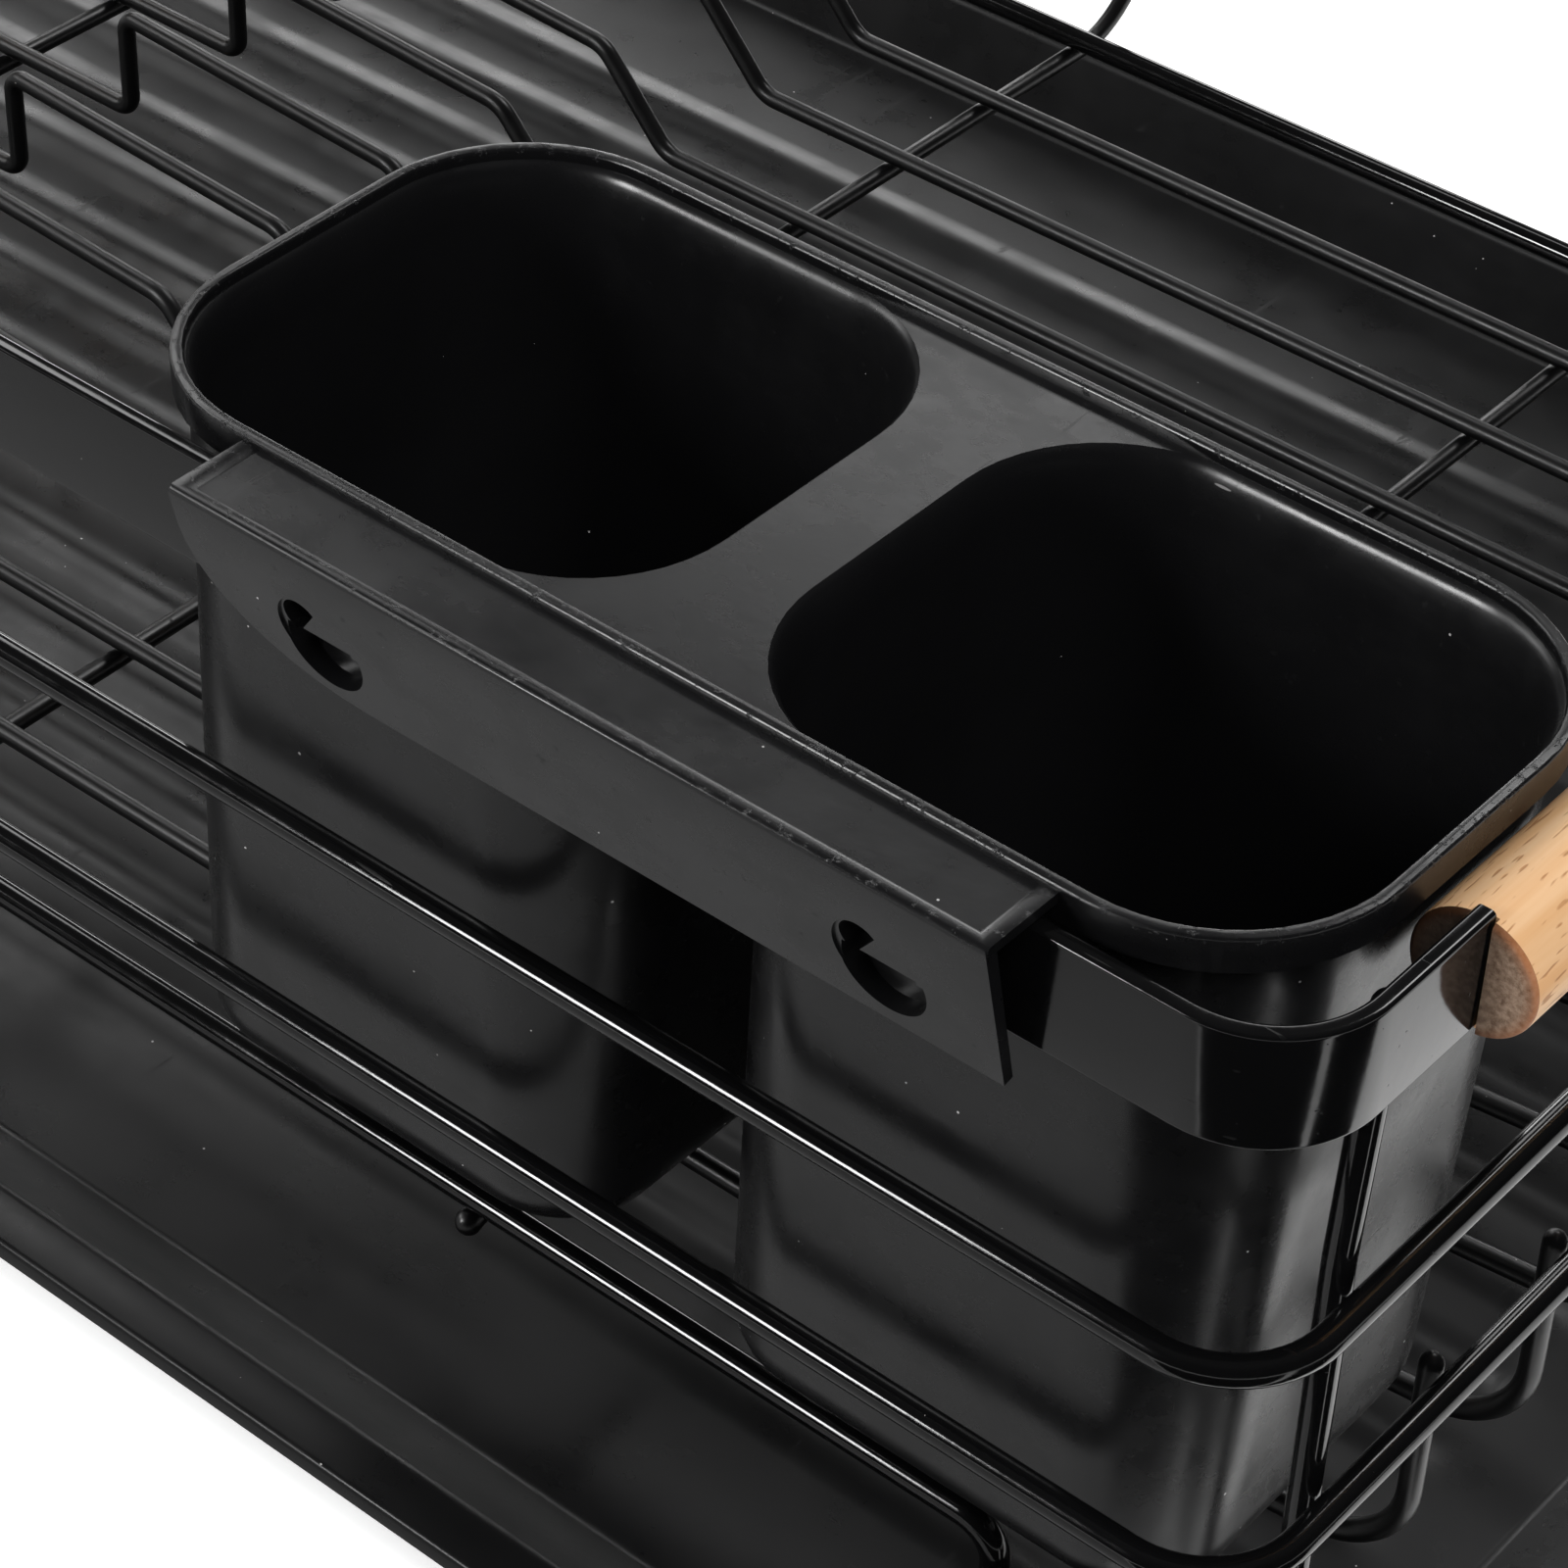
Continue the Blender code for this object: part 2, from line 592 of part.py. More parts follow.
def toe_corner_mesh():
    """Return the cutter that rounds off the toe's left end."""
    low = -HOOK_DEPTH
    points = [(-HOOK_LEFT - OVERRUN, low - OVERRUN), (-HOOK_LEFT + HOOK_CORNER_LENGTH, low - OVERRUN)]
    for step in range(CORNER_STEPS + 1):
        turn = math.radians(90) * step / CORNER_STEPS
        points.append((-HOOK_LEFT + HOOK_CORNER_LENGTH * (1 - math.sin(turn)),
                       low + HOOK_CORNER_HEIGHT * (1 - math.cos(turn))))
    points.append((-HOOK_LEFT - OVERRUN, low + HOOK_CORNER_HEIGHT))
    return front_prism("toe_corner", points, -HOOK_REACH - OVERRUN, HOLDER_FRONT_GAP - CLEARANCE)


def add_holder(rack):
    """Add the cutlery holder: one moulding with two cups, their web and rim, and the hook over the band."""
    material = make_material("cutlery_holder", HOLDER_BLACK, 0.32)
    mount = add_empty("holder_mount", (RIGHT, FRONT, RIM_TOP), rack)
    middle = (-HOLDER_SIDE_GAP - HOLDER_LENGTH / 2, HOLDER_FRONT_GAP + HOLDER_WIDTH / 2)
    cup_places = [side * (CUP_LENGTH + CUP_GAP) / 2 for side in (-1, 1)]
    web_top = HOLDER_RIM_RISE - HOLDER_WEB_DROP
    rim_bottom = HOLDER_RIM_RISE - HOLDER_RIM_DEPTH
    outline = rounded_rectangle(HOLDER_LENGTH / 2, HOLDER_WIDTH / 2, CUP_CORNER_RADIUS + HOLDER_LIP)
    inside = rounded_rectangle(HOLDER_LENGTH / 2 - HOLDER_LIP, CUP_WIDTH / 2, CUP_CORNER_RADIUS)
    holder = add_object("cutlery_holder", prism("cutlery_holder", outline, rim_bottom, HOLDER_RIM_RISE),
                        material, mount, (*middle, 0))
    for index, place in enumerate(cup_places):
        shell = cup_shape("cup", place, CUP_STEP, CUP_BOTTOM_DROP, web_top - CLEARANCE)
        combine(holder, f"cup_guide_{index + 1}", shell, "UNION", holder)
    combine(holder, "hook_guide", hook_mesh(), "UNION", mount)
    pocket = prism("web_pocket", inside, web_top, HOLDER_RIM_RISE + OVERRUN)
    combine(holder, "web_pocket_cutter", pocket, "DIFFERENCE", holder)
    for index, place in enumerate(cup_places):
        hollow = cup_shape("hollow", place, CUP_STEP + CUP_WALL, CUP_BOTTOM_DROP - CUP_WALL, HOLDER_RIM_RISE + 2 * OVERRUN)
        combine(holder, f"cup_cutter_{index + 1}", hollow, "DIFFERENCE", holder)
    combine(holder, "toe_corner_cutter", toe_corner_mesh(), "DIFFERENCE", mount)
    wide = keyhole_mesh()
    neck = neck_mesh()
    for index, place in enumerate(KEYHOLE_PLACES):
        combine(holder, f"keyhole_cutter_{index + 1}", wide, "DIFFERENCE", mount, (-place, 0, 0))
        combine(holder, f"keyhole_neck_cutter_{index + 1}", neck, "DIFFERENCE", mount, (-place, 0, 0))


def main():
    """Build the whole drainer."""
    clear_scene()
    add_tray()
    rack = add_empty("rack", (0, 0, 0))
    add_bands(rack)
    add_handles(rack)
    add_rings(rack)
    add_legs(rack)
    add_floor_wires(rack)
    add_cross_bars(rack)
    add_holder(rack)


if __name__ == "__main__":
    main()
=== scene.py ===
"""The dish drainer, dressed for the picture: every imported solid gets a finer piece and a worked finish."""
import logging
import math
from collections.abc import Callable, Iterator, Mapping, Sequence
from contextlib import contextmanager
from dataclasses import dataclass, field
from enum import Enum
from typing import Any

import bpy
from mathutils import Matrix, Vector


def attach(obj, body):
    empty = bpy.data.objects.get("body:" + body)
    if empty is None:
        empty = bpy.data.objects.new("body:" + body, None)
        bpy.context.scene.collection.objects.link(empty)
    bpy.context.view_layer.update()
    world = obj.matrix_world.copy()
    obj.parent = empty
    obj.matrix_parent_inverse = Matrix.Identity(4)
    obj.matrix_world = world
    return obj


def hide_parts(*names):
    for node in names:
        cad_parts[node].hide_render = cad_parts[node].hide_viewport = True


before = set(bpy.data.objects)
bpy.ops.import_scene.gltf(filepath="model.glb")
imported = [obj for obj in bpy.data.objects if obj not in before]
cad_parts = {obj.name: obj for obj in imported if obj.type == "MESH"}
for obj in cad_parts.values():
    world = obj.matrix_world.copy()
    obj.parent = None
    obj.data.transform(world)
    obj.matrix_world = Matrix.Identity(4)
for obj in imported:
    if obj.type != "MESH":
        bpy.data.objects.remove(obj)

Piece = bpy.types.Object
Socket = bpy.types.NodeSocket
Pair = tuple[float, float]

LOG = logging.getLogger("dish_drainer")
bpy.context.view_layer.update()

# Lengths are in metres. RIGHT and FRONT are the outer faces of the rim band.
MM = 0.001
RIGHT = 240 * MM
FRONT = -160 * MM
RIM_TOP = 149.5 * MM
CLEARANCE = 0.3 * MM
FRAME_WIRE = 3.75 * MM
FLOOR_WIRE = 3.0 * MM
FLOOR_LEVEL = 33.5 * MM
BAR_LEVEL = 30.2 * MM
SHAFT_INSET = 5.275 * MM
SHAFT_TOP = 73.1 * MM
# A cutter runs past its piece by OVERRUN, and points nearer to each other than MERGE become one.
OVERRUN = 4 * MM
MERGE = 0.01 * MM
# A face looks along an axis when its normal's share along it is over FACING.
FACING = 0.9
QUARTER = math.radians(90)
HALF_TURN = Matrix.Rotation(math.pi, 4, "Z")
BLACK = (0, 0, 0, 1)
WHITE = (1, 1, 1, 1)


class Body(Enum):
    """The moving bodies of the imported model."""

    TRAY = "tray"
    RACK = "rack"
    HOLDER = "holder"


class Pick(Enum):
    """What an edit works on."""

    VERTEX = "VERT"
    EDGE = "EDGE"
    FACE = "FACE"


class Carve(Enum):
    """What a shape does to a piece."""

    JOIN = "UNION"
    CUT = "DIFFERENCE"


@dataclass(frozen=True)
class Corner:
    """A corner of a wire's centre line, with its bend radius."""

    place: Vector
    radius: float = 0.0
    steps: int = 10


def path(*points: tuple[float, ...]) -> list[Corner]:
    """Give corners for points of X, Y and Z, each bend with its radius and its steps behind them."""
    return [Corner(Vector(point[:3]), *point[3:]) for point in points]


def linear(code: str) -> tuple[float, float, float, float]:
    """Turn a hex sRGB colour into linear light.

    Args:
        code: Six hex digits.

    Returns:
        Red, green, blue and an alpha of one.
    """
    shares = [int(code[at:at + 2], 16) / 255 for at in (0, 2, 4)]
    red, green, blue = (s / 12.92 if s <= 0.04045 else ((s + 0.055) / 1.055) ** 2.4 for s in shares)
    return red, green, blue, 1.0


def per_mm(size: float) -> float:
    """Give the texture scale whose pattern repeats about every so many millimetres."""
    return 1 / (size * MM)


def add_node(tree: bpy.types.NodeTree, kind: str, inputs: Mapping[Any, Any] | None = None,
             **settings: Any) -> bpy.types.Node:
    """Add one node, with its settings made and its inputs set or linked.

    Args:
        tree: The node tree that gets the node.
        kind: The node's type.
        inputs: A value or an output socket for each named or numbered input.
        **settings: The node's own settings.

    Returns:
        The new node.
    """
    node = tree.nodes.new(kind)
    for name, value in settings.items():
        setattr(node, name, value)
    for name, value in (inputs or {}).items():
        if isinstance(value, Socket):
            tree.links.new(value, node.inputs[name])
        else:
            node.inputs[name].default_value = value
    return node


class Finish:
    """A finish under construction: a material, its shader and shorthand for the usual nodes."""

    def __init__(self, name: str) -> None:
        """Start a material with its shader and object coordinates.

        Args:
            name: The material's name.
        """
        self.material = bpy.data.materials.new(name)
        self.material.use_nodes = True
        self.tree = self.material.node_tree
        self.shader = self.tree.nodes["Principled BSDF"]
        self.place = add_node(self.tree, "ShaderNodeTexCoord").outputs["Object"]

    def axis(self, name: str) -> Socket:
        """Give the place along one axis, X, Y or Z."""
        return add_node(self.tree, "ShaderNodeSeparateXYZ", {"Vector": self.place}).outputs[name]

    def noise(self, size_mm: float, detail: float = 3.0, roughness: float = 0.5,
              stretch: tuple[float, float, float] = (1, 1, 1), shift: float = 0.0) -> Socket:
        """Add a soft noise of a real size.

        Args:
            size_mm: The size of its patches in millimetres.
            detail: How many finer layers it has.
            roughness: How strong the finer layers are.
            stretch: Shares of the scale along each axis, small for long streaks.
            shift: A shift that makes this noise differ from the others.

        Returns:
            Its value from 0 to 1.
        """
        vector = add_node(self.tree, "ShaderNodeMapping", {
            "Vector": self.place, "Location": (shift, shift * 0.7, shift * 1.3), "Scale": stretch}).outputs[0]
        noise = add_node(self.tree, "ShaderNodeTexNoise", {
            "Vector": vector, "Scale": per_mm(size_mm), "Detail": detail, "Roughness": roughness})
        return noise.outputs["Fac"]

    def specks(self, pitch_mm: float, share: float, shift: float = 0.0,
               stretch: tuple[float, float, float] = (1, 1, 1)) -> Socket:
        """Add small scattered spots.

        Args:
            pitch_mm: How far apart the spots' cells are.
            share: The size of the largest spot as a share of its cell.
            shift: A shift that makes these spots differ from the others.
            stretch: Shares of the scale along each axis.

        Returns:
            One on a spot and zero elsewhere.
        """
        vector = add_node(self.tree, "ShaderNodeMapping", {
            "Vector": self.place, "Location": (shift, shift * 0.4, shift * 1.9), "Scale": stretch}).outputs[0]
        cells = add_node(self.tree, "ShaderNodeTexVoronoi", {"Vector": vector, "Scale": per_mm(pitch_mm)})
        chance = add_node(self.tree, "ShaderNodeSeparateColor", {"Color": cells.outputs["Color"]}).outputs[0]
        reach = self.maths("MULTIPLY", self.maths("POWER", chance, 6.0), share)
        return self.maths("LESS_THAN", cells.outputs["Distance"], reach)

    def ramp(self, value: Socket, low: float, high: float, start: float = 0.0,
             end: float = 1.0) -> Socket:
        """Map a value's stretch onto another one, held at its ends beyond it.

        Args:
            value: The value.
            low: Where its stretch starts.
            high: Where its stretch ends.
            start: The result at the low end.
            end: The result at the high end.

        Returns:
            The result.
        """
        mapped = add_node(self.tree, "ShaderNodeMapRange", {
            "Value": value, "From Min": low, "From Max": high, "To Min": start, "To Max": end})
        return mapped.outputs["Result"]

    def maths(self, operation: str, *values: Any) -> Socket:
        """Work out one sum of sockets and numbers."""
        return add_node(self.tree, "ShaderNodeMath", dict(enumerate(values)), operation=operation).outputs[0]

    def part(self, value: Any, share: float) -> Socket:
        """Give a share of a value."""
        return self.maths("MULTIPLY", value, share)

    def blend(self, factor: Any, *colours: Any) -> Socket:
        """Mix two colours, each a socket, four numbers or six hex digits.

        Args:
            factor: The second colour's share.
            *colours: The two colours.

        Returns:
            The mixed colour.
        """
        first, second = (linear(colour) if isinstance(colour, str) else colour for colour in colours)
        node = add_node(self.tree, "ShaderNodeMix", {0: factor, 6: first, 7: second}, data_type="RGBA")
        return node.outputs[2]

    def bump(self, height: Any, depth_mm: float, strength: float = 1.0, after: Any = None) -> Socket:
        """Turn a height into a bump of a real depth.

        Args:
            height: The height, from 0 to 1.
            depth_mm: The depth of a height of one.
            strength: How much of it shows.
            after: The bump that this one is laid over.

        Returns:
            The bumped normal.
        """
        inputs = {"Height": height, "Distance": depth_mm * MM, "Strength": strength}
        if after:
            inputs["Normal"] = after
        return add_node(self.tree, "ShaderNodeBump", inputs).outputs["Normal"]

    def link(self, **sockets: Any) -> bpy.types.Material:
        """Wire sockets into the shader by the input's name, with _ for a space, and give the material."""
        for name, socket in sockets.items():
            self.tree.links.new(socket, self.shader.inputs[name.replace("_", " ")])
        return self.material

    def set(self, **values: Any) -> None:
        """Set constants on the shader's own sockets."""
        for name, value in values.items():
            self.shader.inputs[name.replace("_", " ")].default_value = value


@dataclass(frozen=True)
class BlackCoat:
    """A glossy black coating baked onto steel, with a slight orange peel, dust and fine scratches."""

    name: str = "black_coating_on_steel"
    deep: str = "050505"
    worn: str = "0c0c0d"
    dust: str = "a5a3a0"
    dust_mm: float = 2.8
    dust_share: float = 0.065
    dust_depth_mm: float = 0.02
    smooth: float = 0.08
    dull: float = 0.15
    marks_dull: float = 0.3
    peel_mm: float = 2.2
    peel_depth_mm: float = 0.011

    def make(self) -> bpy.types.Material:
        """Make the material.

        Returns:
            The material.
        """
        finish = Finish(self.name)
        finish.set(IOR=1.52, Specular_IOR_Level=0.5)
        dust = finish.specks(self.dust_mm, self.dust_share)
        base = finish.blend(finish.noise(24, 3), self.deep, self.worn)
        scratch = finish.ramp(finish.noise(1.1, 2, 0.6, stretch=(0.05, 1, 1), shift=3.1), 0.70, 0.73)
        rough = finish.ramp(finish.noise(9, 4, 0.6, shift=1.0), 0.35, 0.7, self.smooth, self.dull)
        marks = finish.maths("MAXIMUM", dust, scratch)
        rough = finish.maths("ADD", rough, finish.part(marks, self.marks_dull))
        peel = finish.bump(finish.noise(self.peel_mm, 2, shift=5.0), self.peel_depth_mm)
        return finish.link(Base_Color=finish.blend(dust, base, self.dust), Roughness=rough,
                           Normal=finish.bump(dust, self.dust_depth_mm, 0.6, peel))


@dataclass(frozen=True)
class MouldedBlack:
    """Black plastic as it leaves a mould, with a fine grain, flow marks, dust and scuffs."""

    name: str
    deep: str
    light: str
    smooth: float
    dull: float
    grain_mm: float
    grain_depth_mm: float
    specular: float = 0.5
    dust: str = "b4b2b2"
    dust_mm: float = 3.4
    dust_share: float = 0.06
    hair_share: float = 0.45
    scuff_dull: float = 0.14
    smear_dull: float = 0.05
    burr: float = 1.0
    burr_fade: float = 0.4 * MM
    worn: str = "4a4a4c"
    worn_share: float = 0.45
    chip_depth_mm: float = 0.08
    sag_mm: float = 34
    sag_depth_mm: float = 0.03

    def make(self) -> bpy.types.Material:
        """Make the material.

        Returns:
            The material.
        """
        finish = Finish(self.name)
        finish.set(IOR=1.50, Specular_IOR_Level=self.specular)
        hairs = finish.maths("MAXIMUM", finish.specks(7.0, 0.05, 5.0, stretch=(0.14, 1, 1)),
                             finish.specks(9.0, 0.04, 6.0, stretch=(1, 0.12, 1)))
        dust = finish.maths("MAXIMUM", finish.specks(self.dust_mm, self.dust_share, 2.0),
                            finish.part(hairs, self.hair_share))
        scuff = finish.ramp(finish.noise(2.4, 3, 0.7, stretch=(1, 0.06, 1), shift=7.7), 0.66, 0.74)
        smear = finish.ramp(finish.noise(5.5, 5, 0.75, stretch=(0.45, 1, 1), shift=12.0), 0.50, 0.72)
        rough = finish.ramp(finish.noise(14, 4, 0.6, shift=4.0), 0.3, 0.7, self.smooth, self.dull)
        rough = finish.maths("ADD", rough, finish.part(scuff, self.scuff_dull))
        rough = finish.maths("ADD", rough, finish.part(smear, self.smear_dull))
        chips = finish.maths("MULTIPLY", finish.ramp(finish.axis("Z"), self.burr, self.burr + self.burr_fade),
                             finish.ramp(finish.noise(1.3, 5, 0.8, shift=14.0), 0.58, 0.68))
        base = finish.blend(finish.noise(38, 4, 0.55), self.deep, self.light)
        base = finish.blend(finish.part(chips, self.worn_share), base, self.worn)
        grain = finish.bump(finish.noise(self.grain_mm, 3, 0.6, shift=9.0), self.grain_depth_mm)
        grain = finish.bump(chips, self.chip_depth_mm, after=grain)
        sag = finish.bump(finish.noise(self.sag_mm, 1, shift=2.5), self.sag_depth_mm, after=grain)
        return finish.link(Base_Color=finish.blend(dust, base, self.dust), Roughness=rough, Normal=sag)


@dataclass(frozen=True)
class Beech:
    """Pale sanded beech, with streaks and short brown flecks along Y, its sawn ends browned at the rim and
    given painted shade on their inner half.
    """

    name: str = "sanded_beech"
    pale: str = "e6c39c"
    warm: str = "d3a271"
    fleck: str = "9a6436"
    fleck_share: float = 0.7
    fleck_sink: float = 0.8
    ripple_mm: float = 0.05
    end: str = "c2a58d"
    end_dark: str = "8d6f59"
    burnt: str = "9c5f35"
    burnt_share: float = 0.8
    burnt_zone: Pair = (0.78, 0.97)
    # Painted shade on the sawn end: its colour, the stretch across X over which it fades out past the end's
    # middle, and how far the pores blur its edge.
    painted_shade: str = "160f0b"
    painted_shade_reach: Pair = (0.2 * MM, 6.2 * MM)
    painted_shade_blur: float = 1.5 * MM
    half_length: float = 128.4 * MM
    middle: Pair = (238.875 * MM, 141.2 * MM)
    radius: float = 7.5 * MM

    def make(self) -> bpy.types.Material:
        """Make the material.

        Returns:
            The material.
        """
        finish = Finish(self.name)
        finish.set(IOR=1.45, Specular_IOR_Level=0.4)
        streak = finish.noise(3.4, 4, 0.6, stretch=(1, 0.035, 1))
        wide = finish.noise(16, 3, 0.5, stretch=(1, 0.1, 1), shift=2.0)
        mixed = finish.maths("ADD", finish.part(streak, 0.6), finish.part(wide, 0.4))
        fleck = finish.ramp(finish.noise(0.62, 1, 0.4, stretch=(1, 0.16, 1), shift=6.0), 0.635, 0.70)
        base = finish.blend(finish.ramp(mixed, 0.36, 0.62), self.pale, self.warm)
        base = finish.blend(finish.part(fleck, self.fleck_share), base, self.fleck)
        rough = finish.ramp(streak, 0.3, 0.7, 0.42, 0.6)
        ripple = finish.maths("SUBTRACT", streak, finish.part(fleck, self.fleck_sink))
        at_end = finish.maths("GREATER_THAN", finish.maths("ABSOLUTE", finish.axis("Y")), self.half_length)
        return finish.link(Base_Color=finish.blend(at_end, base, self.sawn_end(finish)), Roughness=rough,
                           Normal=finish.bump(ripple, self.ripple_mm, 0.7))

    def sawn_end(self, finish: Finish) -> Socket:
        """Give the colour of a sawn end: pores, a browned rim and painted shade over its inner half.

        Args:
            finish: The finish that it is part of.

        Returns:
            The colour.
        """
        across = finish.maths("SUBTRACT", finish.maths("ABSOLUTE", finish.axis("X")), self.middle[0])
        above = finish.maths("SUBTRACT", finish.axis("Z"), self.middle[1])
        away = finish.maths("SQRT", finish.maths("ADD", finish.maths("POWER", across, 2.0),
                                                 finish.maths("POWER", above, 2.0)))
        rim = finish.ramp(away, *(self.radius * share for share in self.burnt_zone))
        pores = finish.noise(0.8, 4, 0.7, shift=8.0)
        grain = finish.blend(finish.ramp(pores, 0.35, 0.65), self.end_dark, self.end)
        grain = finish.blend(finish.part(rim, self.burnt_share), grain, self.burnt)
        # Painted shade: the inner half of the sawn end is darkened, fading out over the outer half, its edge
        # broken by the pores.
        blurred = finish.maths("ADD", across, finish.part(pores, self.painted_shade_blur))
        return finish.blend(finish.ramp(blurred, *self.painted_shade_reach, 0.10, 1.0), self.painted_shade, grain)


def take(piece: Piece) -> None:
    """Select one piece alone and make it the one that is worked on.

    Args:
        piece: The piece.
    """
    bpy.ops.object.select_all(action="DESELECT")
    piece.select_set(True)
    bpy.context.view_layer.objects.active = piece


@contextmanager
def editing(piece: Piece, pick: Pick = Pick.VERTEX) -> Iterator[None]:
    """Open a piece for editing, alone and with all of it selected.

    Args:
        piece: The piece to edit.
        pick: What the edit works on.

    Yields:
        Nothing, while the piece is open.
    """
    take(piece)
    bpy.ops.object.mode_set(mode="EDIT")
    bpy.ops.mesh.select_mode(type=pick.value)
    bpy.ops.mesh.select_all(action="SELECT")
    yield
    bpy.ops.object.mode_set(mode="OBJECT")


def choose(piece: Piece, test: Callable[[Any], bool], pick: Pick) -> None:
    """Select the vertices, edges or faces of the open piece that pass a test.

    Args:
        piece: The piece open for editing.
        test: Takes a point, for an edge each of its ends, or the face, and says whether it is wanted.
        pick: What is tested.
    """
    bpy.ops.mesh.select_all(action="DESELECT")
    bpy.ops.object.mode_set(mode="OBJECT")
    mesh = piece.data
    if pick is Pick.VERTEX:
        for vertex in mesh.vertices:
            vertex.select = test(vertex.co)
    elif pick is Pick.EDGE:
        for edge in mesh.edges:
            edge.select = all(test(mesh.vertices[index].co) for index in edge.vertices)
    else:
        for face in mesh.polygons:
            face.select = test(face)
    bpy.ops.object.mode_set(mode="EDIT")
    bpy.ops.mesh.select_mode(type=pick.value)


def primitive(add: Callable[..., Any], **settings: Any) -> Piece:
    """Add a primitive with nothing else selected, its place, turn and size in its mesh.

    Args:
        add: The operator that adds it.
        **settings: Its sizes and place.

    Returns:
        The new piece.
    """
    bpy.ops.object.select_all(action="DESELECT")
    add(**settings)
    bpy.ops.object.transform_apply(location=True, rotation=True, scale=True)
    return bpy.context.object


def block(middle: Sequence[float], size: Sequence[float]) -> Piece:
    """Build a block by its middle and its size."""
    return primitive(bpy.ops.mesh.primitive_cube_add, size=1, location=middle, scale=size)


def extrude(step: Vector) -> None:
    """Draw the selection out by a step."""
    bpy.ops.mesh.extrude_region_move(TRANSFORM_OT_translate={"value": tuple(step)})


def swell(place: Vector, share: float) -> None:
    """Scale the selected section about its middle."""
    bpy.ops.transform.resize(value=(share, share, share), center_override=tuple(place))


def cap() -> None:
    """Close the ends of the open piece."""
    bpy.ops.mesh.select_all(action="SELECT")
    bpy.ops.mesh.fill_holes(sides=0)


def settle(piece: Piece, name: str, angle: float) -> Piece:
    """Finish a piece: near points merged, normals outward, round faces smooth, and its name.

    Args:
        piece: The piece.
        name: Its final name.
        angle: The angle in degrees past which an edge stays sharp.

    Returns:
        The piece.
    """
    with editing(piece):
        bpy.ops.mesh.remove_doubles(threshold=MERGE)
        bpy.ops.mesh.select_all(action="SELECT")
        bpy.ops.mesh.normals_make_consistent(inside=False)
    bpy.ops.object.shade_smooth_by_angle(angle=math.radians(angle))
    piece.name = name
    piece.data.name = name
    return piece


def finish_with(piece: Piece, kind: str, **settings: Any) -> None:
    """Put a modifier on a piece and apply it.

    Args:
        piece: The piece.
        kind: The modifier's type.
        **settings: The modifier's settings.
    """
    take(piece)
    change = piece.modifiers.new(kind.lower(), kind)
    for name, value in settings.items():
        setattr(change, name, value)
    bpy.ops.object.modifier_apply(modifier=change.name)


def carve(piece: Piece, way: Carve, *tools: Piece) -> None:
    """Join shapes to a piece or cut them out of it, and use the shapes up.

    Args:
        piece: The piece.
        way: What the shapes do to it.
        *tools: The shapes, used in turn.
    """
    for tool in tools:
        finish_with(piece, "BOOLEAN", object=tool, operation=way.value, solver="EXACT")
        bpy.data.objects.remove(tool, do_unlink=True)


def less(pair: Pair, other: Pair, share: float = 1.0) -> Pair:
    """Take a share of another pair of lengths off a pair."""
    return pair[0] - other[0] * share, pair[1] - other[1] * share


def trim(tool: Piece, place: Sequence[float], normal: Sequence[float]) -> None:
    """Cut a shape off past a plane, given by a place on it and its normal."""
    with editing(tool):
        bpy.ops.mesh.bisect(plane_co=place, plane_no=normal, use_fill=True, clear_outer=True)


def copy_of(piece: Piece, name: str, move: Matrix) -> Piece:
    """Copy a piece with its own mesh and move the copy's mesh.

    Args:
        piece: The piece that is copied.
        name: The copy's name.
        move: The way from the piece to the copy.

    Returns:
        The copy.
    """
    take(piece)
    bpy.ops.object.duplicate(linked=False)
    other = bpy.context.object
    other.data.transform(move)
    other.name = name
    other.data.name = name
    return other


def deliver(piece: Piece, body: Body, material: bpy.types.Material, node: str) -> None:
    """Dress a piece, let it ride on its body and let it stand for its solid.

    Args:
        piece: The finished piece.
        body: The body that it moves with.
        material: Its finish.
        node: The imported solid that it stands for.
    """
    piece.data.materials.clear()
    piece.data.materials.append(material)
    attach(piece, body.value)
    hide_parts(node)
    LOG.info("%s: %d faces, rides on %s", piece.name, len(piece.data.polygons), body.value)


def follow(corners: Sequence[Corner]) -> None:
    """Draw the selected section along a centre line, straight runs extruded and bends spun.

    Args:
        corners: The centre line's corners, from the section's own place to its far end.
    """
    here = corners[0].place
    for before, corner, after in zip(corners, corners[1:], corners[2:]):
        arriving = (corner.place - before.place).normalized()
        leaving = (after.place - corner.place).normalized()
        turn = arriving.angle(leaving)
        lead = corner.radius * math.tan(turn / 2)
        start = corner.place - arriving * lead
        inward = (leaving - arriving * arriving.dot(leaving)).normalized()
        extrude(start - here)
        bpy.ops.mesh.spin(steps=corner.steps, angle=turn, center=start + inward * corner.radius,
                          axis=-arriving.cross(leaving).normalized())
        here = corner.place + leaving * lead
    extrude(corners[-1].place - here)


def grow(here: Vector, there: Vector, share: float) -> Vector:
    """Draw the selected section out to a place and scale it there.

    Args:
        here: Where the section is.
        there: Where it goes.
        share: Its new size as a share of the one before.

    Returns:
        The place that the section has reached.
    """
    extrude(there - here)
    swell(there, share)
    return there


